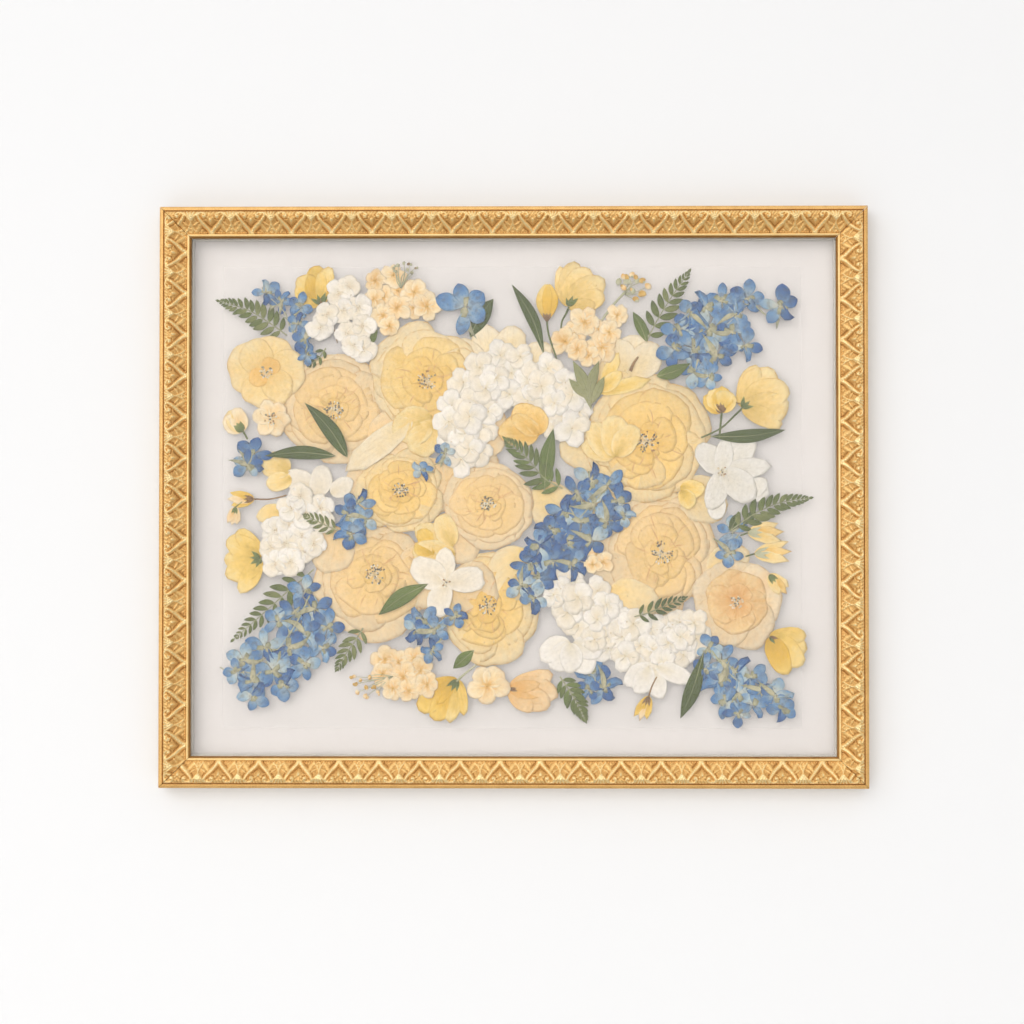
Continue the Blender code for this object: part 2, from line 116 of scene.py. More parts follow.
def ornament(along, inset, period, tip, seed):
    """Height of the pressed ornament: scrolled hearts with fans of flutes between them."""
    wobble = np.sin(along * 0.37 + seed) + np.sin(along * 0.151 + inset * 0.4 + 2 * seed)
    a = along + 0.16 * wobble
    u = inset + 1.2 + 0.14 * np.sin(along * 0.53 + 3 * seed)
    side = (a - tip + period / 2) % period - period / 2
    heart = np.abs(side)
    between = period / 2 - heart

    d, s = path_distance(heart, u, [(0, 22.6), (2.2, 18.6), (6.3, 14.6), (9.4, 10.8),
                                    (10.5, 8.6), (10.0, 6.7), (7.8, 5.9), (5.3, 6.5),
                                    (3.9, 8.2), (4.3, 9.9), (5.6, 10.3)])
    r = d / (1.6 - 0.72 * step(0.25, 0.85, s))
    strap = 1.1 * step(1.3, 0.3, r)
    groove = 0.5 * np.exp(-((r - 1.55) / 0.34) ** 2)
    volute = 1.35 * step(1.7, 0.3, np.hypot(heart - 5.6, u - 9.3))

    bud = np.hypot(heart / 1.9, (u - 12.2) / (2.6 + 0.25 * (u - 12.2)))
    bud = 1.25 * step(1.15, 0.1, bud)
    lobe = 0.95 * step(1.2, 0.15, np.hypot((heart - 2.1) / 1.15, (u - 10.3) / 1.35))

    height = np.maximum.reduce([strap, volute, bud, lobe])
    for line, thick, rise in (
            ([(0, 11.6), (0, 5.2)], 0.8, 1.25),
            ([(0.5, 11.8), (1.3, 9), (2.7, 5.2)], 0.8, 1.25),
            ([(0.8, 12.3), (2.6, 9.6), (5.0, 6.0)], 0.75, 1.15),
            ([(3.4, 20.9), (6.4, 17.4), (8.3, 13.8)], 1.5, 0.62),
            ([(0, 12.6), (0.25, 15.5), (1.6, 18.2), (3.9, 20.9)], 0.85, 1.0),
            ([(2.3, 15.9), (4.3, 14.9), (5.6, 13.6)], 0.8, 0.8),
            ([(4.9, 18.6), (6.2, 17.1)], 0.75, 0.75),
            ([(7.2, 20.7), (8.6, 19.5)], 0.7, 0.6)):
        d, s = path_distance(between, u, line)
        leaf = thick * (0.75 + 0.5 * np.sin(np.pi * s))
        height = np.maximum(height, rise * step(1.3, 0.2, d / leaf))
    waist = 1.2 * step(1.25, 0.3, np.hypot(between / 1.7, (u - 12.4) / 0.95))
    ring = np.hypot(between, u - 19.8)
    ring = 0.95 * np.exp(-((ring - 1.35) / 0.5) ** 2) + 0.7 * step(0.7, 0.1, ring)
    height = np.maximum.reduce([height, waist, ring])
    flutes = 0.75 * np.abs(np.sin(np.pi * (a + 0.5 * u) / 2.5)) ** 0.7 * step(8.9, 7.4, u)
    height = np.maximum(height, flutes)
    height = height - groove * step(0.75, 0.1, height)
    height = height * (1 + 0.22 * np.sin(a * 2.3 + u * 1.1) * np.sin(u * 2.9 - a * 0.7))
    return height * step(3.7, 4.3, inset) * step(21.0, 20.7, inset)


def resample(points, pitch):
    """The same broken line with points added, about a pitch apart."""
    rows = [points[0]]
    for (u0, h0), (u1, h1) in zip(points, points[1:]):
        count = max(1, round(math.hypot(u1 - u0, h1 - h0) / pitch))
        rows += [(u0 + (u1 - u0) * k / count, h0 + (h1 - h0) * k / count)
                 for k in range(1, count + 1)]
    return rows


class Finish:
    """A finish while it is mixed: each call adds a node and gives back its output."""

    def __init__(self, name, **sockets):
        self.material = bpy.data.materials.new(name)
        self.material.use_nodes = True
        self.nodes, self.links = self.material.node_tree.nodes, self.material.node_tree.links
        self.shader = self.nodes["Principled BSDF"]
        self.fill(self.shader, sockets)

    def fill(self, node, sockets):
        """Sets each socket to a plain value, or links another node's output to it."""
        for socket, value in sockets.items():
            if isinstance(value, bpy.types.NodeSocket):
                self.links.new(value, node.inputs[socket])
            else:
                node.inputs[socket].default_value = value

    def coat(self, **sockets):
        """Fills the shader's sockets, named with _ for a space, and gives the material."""
        self.fill(self.shader, {name.replace("_", " "): value for name, value in sockets.items()})
        return self.material

    def add(self, kind, sockets, output=0, **settings):
        node = self.nodes.new("ShaderNode" + kind)
        for name, value in settings.items():
            setattr(node, name, value)
        self.fill(node, sockets)
        return node.outputs[output]

    def show(self, factor, other):
        """Shows another shader where the factor is 1, and gives the material."""
        mix = self.add("MixShader", {0: factor, 1: self.shader.outputs["BSDF"], 2: other})
        self.links.new(mix, self.nodes["Material Output"].inputs["Surface"])
        return self.material

    def place(self):
        return self.add("TexCoord", {}, "Object")

    def attribute(self, name):
        return self.add("Attribute", {}, "Fac", attribute_name=name)

    def maths(self, operation, *values):
        return self.add("Math", dict(enumerate(values)), operation=operation)

    def noise(self, vector, scale, detail, distortion=0.0):
        return self.add("TexNoise", {"Vector": vector, "Scale": scale, "Detail": detail,
                                     "Distortion": distortion})

    def spread(self, value, low, high, **ends):
        """Maps low to high onto 0 to 1, or onto the ends."""
        ends = {"To " + name.title(): end for name, end in ends.items()}
        return self.add("MapRange", {"Value": value, "From Min": low, "From Max": high, **ends})

    def ramp(self, factor, *stops):
        """A colour ramp from pairs of a place and a colour."""
        node = self.nodes.new("ShaderNodeValToRGB")
        elements = node.color_ramp.elements
        for element, (place, colour) in zip(elements, (stops[0], stops[-1])):
            element.position, element.color = place, (*colour, 1)
        for place, colour in stops[1:-1]:
            elements.new(place).color = (*colour, 1)
        self.links.new(factor, node.inputs["Fac"])
        return node.outputs["Color"]

    def bump(self, height, depth, strength=1.0):
        return self.add("Bump", {"Height": height, "Distance": depth, "Strength": strength})


def gilt_finish():
    """Gold leaf over composition: bright where rubbed, brown glaze in the hollows; the relief also
    paints highlights on the high places and shade in the hollows.
    """
    finish = Finish("gilt_moulding_leaf")
    place = finish.place()
    stipple = finish.noise(place, 1100, 2)
    # The relief attribute drives the colour: real glaze and rubbing, and also painted shade in the
    # hollows and painted highlights on the high places.
    wear_and_painted_light = finish.maths("MULTIPLY_ADD", finish.noise(place, 95, 5), 0.30,
                        finish.attribute("relief"))
    wear_and_painted_light = finish.maths("SUBTRACT", finish.maths("MULTIPLY_ADD", stipple, 0.5, wear_and_painted_light), 0.40)
    leaf = finish.ramp(wear_and_painted_light, (0, (0.34, 0.15, 0.036)), (0.22, (0.60, 0.31, 0.088)),
                       (0.5, (0.92, 0.565, 0.20)), (0.78, (1.0, 0.685, 0.28)),
                       (1, (1.0, 0.78, 0.40)))
    return finish.coat(Base_Color=leaf, Metallic=0.5, Normal=finish.bump(stipple, 0.00022, 0.55),
                       Roughness=finish.spread(wear_and_painted_light, 0, 1, min=0.62, max=0.36))


def wood_finish(name, grain_scale):
    """Ochre-washed softwood on the moulding's sides, back and rebate, its grain along the rail."""
    finish = Finish(name, Roughness=0.72)
    along = finish.add("Mapping", {"Vector": finish.place(), "Scale": grain_scale})
    grain = finish.noise(along, 620, 6, 0.35)
    return finish.coat(Normal=finish.bump(grain, 0.0003),
                       Base_Color=finish.ramp(grain, (0.32, (0.50, 0.345, 0.17)),
                                              (0.68, (0.70, 0.53, 0.30))))


gilt = gilt_finish()
wood = {"across": wood_finish("moulding_wood_across", (0.06, 1, 1)),
        "upright": wood_finish("moulding_wood_upright", (1, 1, 0.06))}
rows = resample(FACE, ROW_PITCH) + BACK
face_rows = len(rows) - len(BACK)


X, Z = (1, 0, 0), (0, 0, 1)


def moulding(name, half, period, tip, seed, place):
    """A mitred length: a grid wrapped round the section, raised by the ornament."""
    columns = round(2 * half / COLUMN_PITCH)
    bm = bmesh.new()
    bmesh.ops.create_grid(bm, x_segments=columns, y_segments=len(rows) - 1, size=1)
    co = np.array([v.co[:] for v in bm.verts])
    row = np.rint((co[:, 1] + 1) / 2 * (len(rows) - 1)).astype(int)
    section = np.array(rows)[row]
    inset, height = section[:, 0], section[:, 1].copy()
    along = co[:, 0] * (half - inset - MITRE_GAP)
    on_face = row < face_rows
    relief = np.where(on_face, ornament(along, inset, period, tip, seed), 0)
    height += relief * RELIEF
    height -= GROUND * on_face * step(4.0, 5.0, inset) * step(20.4, 19.8, inset)
    across, up = place
    points = np.outer(along * MM, across) + np.outer(inset * MM, up[0]) + np.array(up[1]) * MM
    points[:, 1] = (RAIL_BACK_Y - height) * MM
    shade = bm.verts.layers.float.new("relief")
    plain = np.interp(inset, WEAR_AND_PAINTED_LIGHT_AT, WEAR_AND_PAINTED_LIGHT)
    # Wear and painted light: the ornament's high places are lighter (rubbed gold and painted
    # highlight), its hollows darker (glaze and painted shade).
    wear_and_painted_light = np.where(relief > 0.02, np.maximum(plain, 0.24 + 0.6 * relief), plain + 0.55 * relief)
    for v, point, value in zip(bm.verts, points, wear_and_painted_light):
        v.co = point
        v[shade] = value
    for f in bm.faces:
        if sum(row[v.index] for v in f.verts) / 4 > face_rows - 0.2:
            f.material_index = 1
    bmesh.ops.remove_doubles(bm, verts=bm.verts, dist=1e-6)
    ends = bmesh.ops.holes_fill(bm, edges=[e for e in bm.edges if e.is_boundary], sides=0)
    for f in ends["faces"]:
        f.material_index = 1
    bmesh.ops.recalc_face_normals(bm, faces=bm.faces)
    mesh = bpy.data.meshes.new(name)
    bm.to_mesh(mesh)
    bm.free()

    # Beads along the lip, then the length itself.
    whole = bmesh.new()
    shade = whole.verts.layers.float.new("relief")
    run = half - LIP_INSET
    count = int(2 * run / BEAD_PITCH)
    for k in range(count + 1):
        a = -run + 2 * run * k / count
        bead = bmesh.ops.create_icosphere(whole, subdivisions=1, radius=BEAD_RADIUS * MM)
        spot = (np.array(across) * a + np.array(up[0]) * BEAD_INSET + np.array(up[1])) * MM
        spot[1] = (RAIL_BACK_Y - BEAD_HEIGHT) * MM
        for v in bead["verts"]:
            v.co = Vector(spot) + v.co
            v[shade] = BEAD_WEAR_AND_HIGHLIGHT
    whole.from_mesh(mesh)
    for f in whole.faces:
        f.smooth = f.material_index == 0
    whole.to_mesh(mesh)
    whole.free()
    mesh.materials.append(gilt)
    mesh.materials.append(wood["across" if across == X else "upright"])
    piece = bpy.data.objects.new(name, mesh)
    bpy.context.scene.collection.objects.link(piece)
    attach(piece, "root")
    return piece


for name, half, period, tip, seed, place in (
        ("rail_top", FRAME_HALF_X, 31.1, -171.4, 0.4, (X, ((0, 0, -1), (0, 0, FRAME_HALF_Z)))),
        ("rail_bottom", FRAME_HALF_X, 31.0, -134.1, 1.7, (X, ((0, 0, 1), (0, 0, -FRAME_HALF_Z)))),
        ("rail_left", FRAME_HALF_Z, 31.7, 125.3, 2.9, (Z, ((1, 0, 0), (-FRAME_HALF_X, 0, 0)))),
        ("rail_right", FRAME_HALF_Z, 31.4, 121.0, 4.1, (Z, ((-1, 0, 0), (FRAME_HALF_X, 0, 0))))):
    piece = moulding(name + "_ornamented", half, period, tip, seed, place)
    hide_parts(name)


# ---- Roses -------------------------------------------------------------------------------------
# Open double roses, pressed face up: rings of thin petals, sheer at the outside (drawn opaque,
# with the shaded wall behind painted into their colour), that lap over one another round a tuft of
# dried stamens. They lie loose between the panes on the film.
PETAL_LAYERS = ("across", "along", "reach", "tone")


def linear(colour):
    """Screen colour, 0 to 255, to the renderer's linear colour."""
    return [((c / 255 + 0.055) / 1.055) ** 2.4 if c > 10 else c / 3295 for c in colour]


def petal_finish(name, heart, body, edge, rim, alpha=1.0, streak=0.22, blotch=0.3,
                 crease=None, speck=0.0, stain=0.45, rim_strength=0.85):
    """Dried petal: deeper at the heart, streaked along its veins, blotched, with a fine rim."""
    finish = Finish(name, Roughness=0.7, Alpha=alpha)
    maths, noise, spread, place = finish.maths, finish.noise, finish.spread, finish.place()

    def blend(factor, under, over):
        return finish.add("Mix", {0: factor, 6: under, 7: (*linear(over), 1)}, 2,
                          data_type="RGBA")

    across, along, reach, tone = [finish.attribute(n) for n in PETAL_LAYERS]
    veins = noise(finish.add("CombineXYZ", {0: maths("MULTIPLY", across, 7.0), 1: along,
                                            2: maths("MULTIPLY", tone, 31.0)}), 1.7, 5)
    uneven = maths("ADD", maths("MULTIPLY_ADD", veins, 2 * streak, -streak),
                   maths("MULTIPLY_ADD", noise(place, 150, 4), 2 * blotch, -blotch))
    colour = finish.ramp(maths("ADD", uneven, reach), (0, linear(heart)), (0.55, linear(body)),
                         (1, linear(edge)))
    lines = spread(maths("ABSOLUTE", maths("SUBTRACT", veins, 0.5)), 0.035, 0.0)
    colour = blend(maths("MULTIPLY", lines, 0.28), colour, rim)
    stained = spread(noise(place, 70, 6), 0.5, 0.74)
    colour = blend(maths("MULTIPLY", stained, stain), colour, heart)
    if crease:
        folds = spread(noise(place, 330, 5), 0.50, 0.36)
        colour = blend(maths("MULTIPLY", folds, crease[1]), colour, crease[0])
    broken = maths("MULTIPLY", spread(noise(place, 210, 2), 0.42, 0.56), rim_strength)
    colour = blend(maths("MULTIPLY", spread(along, 0.965, 0.99), broken), colour, rim)
    if speck:
        dots = finish.add("TexVoronoi", {"Vector": place, "Scale": 115}, "Distance")
        colour = blend(maths("MULTIPLY", spread(dots, 0.075, 0.03), speck), colour,
                       (150, 112, 78))
    mottle = maths("MULTIPLY_ADD", noise(place, 380, 5), 0.34, -0.17)
    shade = maths("ADD", mottle, maths("MULTIPLY_ADD", tone, 0.10, 0.95))
    rise = maths("ADD", veins, maths("MULTIPLY", noise(place, 900, 3), 0.5))
    return finish.coat(Base_Color=finish.add("HueSaturation", {"Color": colour, "Value": shade}),
                       Specular_IOR_Level=0.22, Normal=finish.bump(rise, 0.00012, 0.5))


# The bouquet is laid out at the face's width, then spread about a point to fill the deeper
# layers. Layers are 0.7 mm apart, from 1.05 at the front to 3.85; the gap's ends hold the rest.
SPREAD = 1.0115
SPREAD_X, SPREAD_Z = 16, -36
GAP_FRONT, GAP_BACK = 0.62, 4.28


class Pressed:
    """A pressed piece while it is laid out, in mm: across, up, and its layer's depth y."""

    def __init__(self, name, y, seed):
        self.name, self.y, self.random = name, y, random.Random(seed)
        self.bm = bmesh.new()
        layers = self.bm.verts.layers.float
        for which in PETAL_LAYERS:
            layers.new(which)
        self.across, self.along, self.reach, self.tone = [layers.get(n) for n in PETAL_LAYERS]
        self.finishes = []

    def sheet(self, cells, finish, shape, reach=None):
        """A grid of cells bent by shape(u, t) to (mm across, mm up, mm deep)."""
        if finish not in self.finishes:
            self.finishes.append(finish)
        index = self.finishes.index(finish)
        made = bmesh.ops.create_grid(self.bm, x_segments=cells[0], y_segments=cells[1], size=1)
        tone = self.random.random()
        for v in made["verts"]:
            u, t = v.co.x, (v.co.y + 1) / 2
            x, z, d = shape(u, t)
            v.co = (x * MM, min(max(self.y + d, GAP_FRONT), GAP_BACK) * MM, z * MM)
            v[self.across], v[self.along], v[self.tone] = u, t, tone
            v[self.reach] = t if reach is None else reach(x, z, t)
        for f in {f for v in made["verts"] for f in v.link_faces}:
            f.material_index = index
            f.smooth = True

    def petal(self, base, heading, length, width, finish, depth=0.0, tilt=0.0, ruffle=0.05,
              jag=0.03, notch=0.0, claw=0.0, reach=None, cells=(10, 8), bend=0.0, fold=None,
              spread=76, dome=0.0):
        """A petal that fans out from its base; heading is in degrees, clockwise from up."""
        wave = [self.random.uniform(0, 6.28) for _ in range(6)]
        a, b = length / 2, width / 2
        sin_h, cos_h = math.sin(math.radians(heading)), math.cos(math.radians(heading))

        def shape(u, t):
            angle = math.radians(spread) * u
            c, s = math.cos(angle), math.sin(angle)
            r = 2 * a * b * b * c / (b * b * c * c + a * a * s * s)
            r *= 1 + jag * (math.sin(u * 4.2 + wave[0]) + 0.8 * math.sin(u * 9.1 + wave[1])
                            + 0.5 * math.sin(u * 17 + wave[2]))
            r *= 1 - notch * math.exp(-(u / 0.17) ** 2)
            x, z = r * t * s * (1 - claw * (1 - t)), r * t * c
            d = depth + tilt * u * t - dome * math.sin(math.pi * t)
            d += ruffle * t * (math.sin(u * 6.5 + wave[3]) + 0.6 * math.sin(u * 13 + wave[4])
                               + 0.35 * math.sin(u * 21 + 3 * t + wave[5]))
            if fold is not None and (x - fold * b) * (1 if fold > 0 else -1) > 0:
                x = 2 * fold * b - x * 0.9 - 0.1 * fold * b
                d -= 0.16
            x += bend * z * z / length
            return base[0] + x * cos_h + z * sin_h, base[1] - x * sin_h + z * cos_h, d

        self.sheet(cells, finish, shape, reach=reach)

    def leaf(self, base, tip, width, finish, bow=0.0, depth=0.0, full=1.0, blunt=1.0, tooth=0.0,
             cells=(4, 14), ridge=0.06, teeth=9):
        """A blade from base to tip: full below 1 is widest near the base."""
        length = math.dist(base, tip)
        dx, dz = (tip[0] - base[0]) / length, (tip[1] - base[1]) / length

        def shape(u, t):
            half = width / 2 * math.sin(math.pi * t ** full) ** blunt
            half *= 1 + tooth * math.sin(teeth * 2 * math.pi * t) * (abs(u) > 0.6)
            x = u * half + bow * length * math.sin(math.pi * t)
            z = t * length
            d = depth + ridge * (abs(u) - 0.5)
            return base[0] + x * dz + z * dx, base[1] - x * dx + z * dz, d

        self.sheet(cells, finish, shape)

    def stem(self, points, width, finish, depth=0.0, taper=0.4, cells=(3, 5)):
        """A pressed stalk along a broken line, rounded off between its points."""
        points = [Vector(p) for p in points]
        spans = len(points) - 1

        def shape(u, t):
            where = min(int(t * spans), spans - 1)
            f = t * spans - where
            p0, p1 = points[max(where - 1, 0)], points[where]
            p2, p3 = points[where + 1], points[min(where + 2, spans)]
            centre = (p1 * 2 + (p2 - p0) * f + (p0 * 2 - p1 * 5 + p2 * 4 - p3) * f * f
                      + (p1 * 3 - p0 - p2 * 3 + p3) * f ** 3) / 2
            way = (p2 - p1).normalized()
            half = width / 2 * (1 - taper * t)
            rise = depth - min(width, 0.7) * 0.35 * (1 - u * u)
            return centre[0] + u * half * way[1], centre[1] - u * half * way[0], rise

        self.sheet((cells[0], cells[1] * spans), finish, shape)

    def dot(self, x, z, size, finish, depth=0.0, long=1.0, turn=0.0):
        """A bud, seed or anther: a small flattened dome."""
        dx, dz = math.sin(turn) * size * long / 2, math.cos(turn) * size * long / 2

        def shape(u, t):
            half = size / 2 * math.sin(math.pi * t) ** 0.6
            y = depth - min(size, 1.2) * 0.28 * (1 - u * u) * math.sin(math.pi * t)
            along = 2 * t - 1
            px = x + along * dx + u * half * math.cos(turn)
            pz = z + along * dz - u * half * math.sin(turn)
            return px, pz, y

        self.sheet((3, 4), finish, shape)

    def settle(self, slot, node=None, thickness=0.08):
        """Gives the sheets their thickness and rides the piece on the frame."""
        bmesh.ops.remove_doubles(self.bm, verts=self.bm.verts, dist=1e-7)
        bmesh.ops.scale(self.bm, vec=(SPREAD, 1, SPREAD), verts=self.bm.verts,
                        space=Matrix.Translation((-SPREAD_X * MM, 0, -SPREAD_Z * MM)))
        mesh = bpy.data.meshes.new(self.name)
        self.bm.to_mesh(mesh)
        self.bm.free()
        for finish in self.finishes:
            mesh.materials.append(finish)
        piece = bpy.data.objects.new(self.name, mesh)
        bpy.context.scene.collection.objects.link(piece)
        skin = piece.modifiers.new("petal_thickness", "SOLIDIFY")
        skin.thickness = thickness * MM
        skin.offset = -1
        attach(piece, "root")
        if node:
            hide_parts(node)


def rose_finishes(name, heart, body, edge, rim):
    """A rose's three petal finishes: sheer outer petals, opaque with the shaded wall behind
    painted into their edge, middle petals, deep inner ones.
    """
    # Painted see-through shade: the sheer petals' edge colour is mixed with the grey of the shaded
    # wall behind the glass.
    pale = [round(0.62 * e + 0.38 * g) for e, g in zip(edge, (228, 222, 208))]
    return (petal_finish(name + "_sheer", body, edge, pale, rim, speck=0.5),
            petal_finish(name + "_petal", heart, body, edge, rim, speck=0.6),
            petal_finish(name + "_heart", heart, heart, body, rim, streak=0.3))


peach = rose_finishes("rose_peach", (244, 206, 122), (247, 214, 152), (244, 215, 162),
                      (232, 188, 126))
cream = rose_finishes("rose_cream", (240, 196, 92), (250, 217, 136), (247, 222, 164),
                      (233, 194, 124))
apricot = rose_finishes("rose_apricot", (244, 200, 98), (250, 215, 134), (246, 217, 152),
                        (233, 188, 116))
anther_grey = petal_finish("anther_grey", (120, 118, 98), (150, 146, 125), (176, 170, 150),
                           (96, 88, 70))
anther_white = petal_finish("anther_white", (240, 234, 214), (248, 244, 230), (250, 248, 240),
                            (190, 178, 146), stain=0)
anther_brown = petal_finish("anther_brown", (150, 108, 62), (176, 134, 84), (196, 158, 104),
                            (120, 84, 50))
anther_dark = petal_finish("anther_dark", (78, 78, 66), (98, 96, 80), (120, 116, 96),
                           (66, 62, 50))
crease_line = petal_finish("petal_crease", (226, 172, 112), (230, 182, 124), (236, 196, 142),
                           (214, 156, 96))
filament = petal_finish("stamen_thread", (238, 214, 160), (244, 228, 190), (248, 238, 214),
                        (206, 176, 120))


def stamens(flower, x, z, radius, count, depth, finishes):
    """A pressed tuft: fine threads that end in anthers, most near the middle."""
    rnd = flower.random
    for k in range(count):
        turn = rnd.uniform(0, 2 * math.pi)
        far = radius * (0.25 + 0.75 * math.sqrt(rnd.random()))
        tip = (x + far * math.sin(turn), z + far * math.cos(turn))
        flower.stem([(x + 0.1 * far * math.sin(turn), z), tip], 0.38, filament,
                    depth=depth, cells=(2, 2))
        flower.dot(*tip, rnd.uniform(0.9, 1.5), rnd.choice((*finishes, anther_white)),
                   depth=depth - 0.05, long=1.3, turn=turn)
    for k in range(6):
        flower.dot(x + rnd.uniform(-0.3, 0.3) * radius, z + rnd.uniform(-0.3, 0.3) * radius,
                   1.2, anther_white if k % 2 else anther_dark, depth=depth - 0.1)


# Rings from the outside in: petals, where they start and end, width, finish, depth.
ROSE_RINGS = ((6, 0.26, 1.05, 1.14, 0, 0.22), (5, 0.18, 0.93, 1.10, 0, 0.15),
              (4, 0.12, 0.80, 0.98, 1, 0.09), (4, 0.08, 0.62, 0.80, 1, 0.03),
              (3, 0.05, 0.46, 0.62, 1, -0.03), (3, 0.03, 0.31, 0.42, 1, -0.08),
              (2, 0.02, 0.20, 0.26, 2, -0.12))


def rose(name, centre, radius, y, seed, finishes, middle, stretch):
    """Rings of petals, fine creases near the heart, and stamens; middle is the heart's offset."""
    flower = Pressed(name + "_petals", y, seed)
    rnd = flower.random
    heart = (centre[0] + middle[0], centre[1] + middle[1])

    def reach(x, z, t):
        return min(1.0, math.dist((x, z), heart) / radius)

    for ring, (count, start, end, width, which, depth) in enumerate(ROSE_RINGS):
        first = rnd.uniform(0, 360)
        for k in range(count):
            turn = first + 360 * (k + rnd.uniform(-0.3, 0.3)) / count
            sin_t, cos_t = math.sin(math.radians(turn)), math.cos(math.radians(turn))
            x = centre[0] + middle[0] * (1 - end) + start * radius * sin_t
            z = centre[1] + middle[1] * (1 - end) + start * radius * cos_t
            length = radius * (end - start) * rnd.uniform(0.84, 1.06)
            flower.petal((x, z), turn + rnd.uniform(-18, 18), length,
                         radius * width * rnd.uniform(0.85, 1.15), finishes[which],
                         depth=depth + rnd.uniform(-0.04, 0.04), tilt=0.04, ruffle=0.018,
                         jag=0.022, notch=rnd.choice((0, 0.02, 0.05)), reach=reach,
                         cells=(14, 9) if ring < 4 else (9, 6), claw=0.15,
                         bend=rnd.uniform(-0.1, 0.1))
    for k in range(16):
        turn = rnd.uniform(0, 2 * math.pi)
        sin_t, cos_t = math.sin(turn), math.cos(turn)
        near, far = radius * rnd.uniform(0.12, 0.4), radius * rnd.uniform(0.1, 0.3)
        root = (heart[0] + near * sin_t, heart[1] + near * cos_t)
        lean = turn + rnd.uniform(-0.5, 0.5)
        tip = (root[0] + far * math.sin(lean), root[1] + far * math.cos(lean))
        flower.leaf(root, tip, rnd.uniform(0.35, 0.8), crease_line, bow=rnd.uniform(-0.1, 0.1),
                    depth=-0.2 + 0.28 * near / radius, cells=(2, 6), ridge=0)
    stamens(flower, *heart, 0.17 * radius, 40, -0.24, (anther_grey, anther_brown, anther_dark))
    bmesh.ops.scale(flower.bm, vec=(stretch[0], 1, stretch[1]), verts=flower.bm.verts,
                    space=Matrix.Translation((-centre[0] * MM, 0, -centre[1] * MM)))
    return flower


for name, centre, radius, y, seed, finishes, middle, stretch in (
        ("rose_peach_upper_left", (-137, 70), 40, 3.85, 11, peach, (-1, -3), (1.1, 1.06)),
        ("rose_peach_lower_left", (-107.5, -67), 43, 3.85, 12, peach, (1.5, 7), (1.08, 1.03)),
        ("rose_apricot_lower_middle", (-18.5, -84), 41, 3.85, 13, apricot, (-1, 0), (0.93, 1.07)),
        ("rose_peach_right", (109.5, -46.5), 46, 3.85, 14, peach, (5, 3), (1.0, 1.15)),
        ("rose_cream_upper_left", (-66.5, 90.5), 44, 3.15, 15, cream, (0.5, -1.0), (1.02, 0.98)),
        ("rose_apricot_left", (-86.5, 4), 34, 3.15, 16, apricot, (0, 1), (1.05, 0.95)),
        ("rose_apricot_upper_right", (103, 46), 45, 3.15, 17, apricot, (0, -4), (1.08, 1.08)),
        ("rose_peach_middle", (-19, -6), 34, 2.45, 18, peach, (0, 0.5), (1.05, 0.98))):
    rose(name, centre, radius, y, seed, finishes, middle, stretch).settle(
        "petal_peach" if "peach" in name else "petal_cream", name, thickness=0.06)


# ---- Open poppies ------------------------------------------------------------------------------
# Cream single blooms with a few broad, finely creased petals round a knot of pale stamens.
poppy_left = (petal_finish("poppy_pale", (243, 202, 118), (249, 220, 150), (250, 229, 178),
                           (238, 204, 142), streak=0.3, speck=0.2),
              petal_finish("poppy_deep", (240, 190, 96), (247, 208, 128), (250, 222, 158),
                           (222, 176, 108), streak=0.35))
poppy_right = (petal_finish("poppy_sheer", (240, 196, 126), (243, 216, 168), (240, 222, 188),
                            (222, 190, 140), streak=0.3, speck=0.2),
               petal_finish("poppy_amber", (226, 166, 88), (243, 208, 146), (247, 224, 176),
                            (222, 178, 120), streak=0.4))
anther_cream = petal_finish("anther_cream", (224, 214, 180), (236, 230, 206), (242, 238, 222),
                            (170, 158, 120))


def poppy(name, centre, radius, y, seed, finishes, petals):
    """petals: heading, reach out and width as parts of the radius, finish, depth."""
    flower = Pressed(name + "_petals", y, seed)

    def reach(x, z, t):
        return min(1.0, math.dist((x, z), centre) / radius)

    for heading, out, wide, which, depth in petals:
        flower.petal(centre, heading, radius * out, radius * wide, finishes[which], depth=depth,
                     tilt=0.05, ruffle=0.05, jag=0.03, reach=reach, cells=(22, 10), spread=82)
    stamens(flower, *centre, 0.16 * radius, 30, -0.22, (anther_cream, anther_grey, filament))
    return flower


poppy("poppy_cream_left", (-190.0, 96.0), 30, 3.15, 31, poppy_left,
      ((-78, 1.0, 1.35, 0, 0.20), (20, 0.96, 1.2, 0, 0.12), (95, 1.0, 1.25, 0, 0.05),
       (178, 0.95, 1.35, 0, 0.0), (-34, 0.92, 0.9, 0, -0.03), (140, 0.9, 0.8, 0, -0.06),
       (-125, 0.5, 0.5, 1, -0.1), (40, 0.42, 0.5, 1, -0.12),
       )).settle("petal_cream", "poppy_cream_left", 0.06)
poppy("poppy_cream_right", (171.0, -81.0), 34, 3.15, 32, poppy_right,
      ((-70, 1.0, 1.3, 0, 0.24), (5, 0.95, 1.3, 0, 0.18), (75, 1.04, 1.4, 0, 0.12),
       (150, 1.1, 1.25, 0, 0.08), (215, 1.1, 1.3, 0, 0.04), (-35, 0.75, 1.0, 1, 0.0),
       (50, 0.72, 1.0, 1, -0.04), (120, 0.74, 0.95, 1, -0.07), (190, 0.7, 1.0, 1, -0.1),
       (260, 0.66, 0.9, 1, -0.12), (20, 0.42, 0.6, 1, -0.15), (160, 0.4, 0.6, 1, -0.17),
       )).settle("petal_cream", "poppy_cream_right", 0.06)


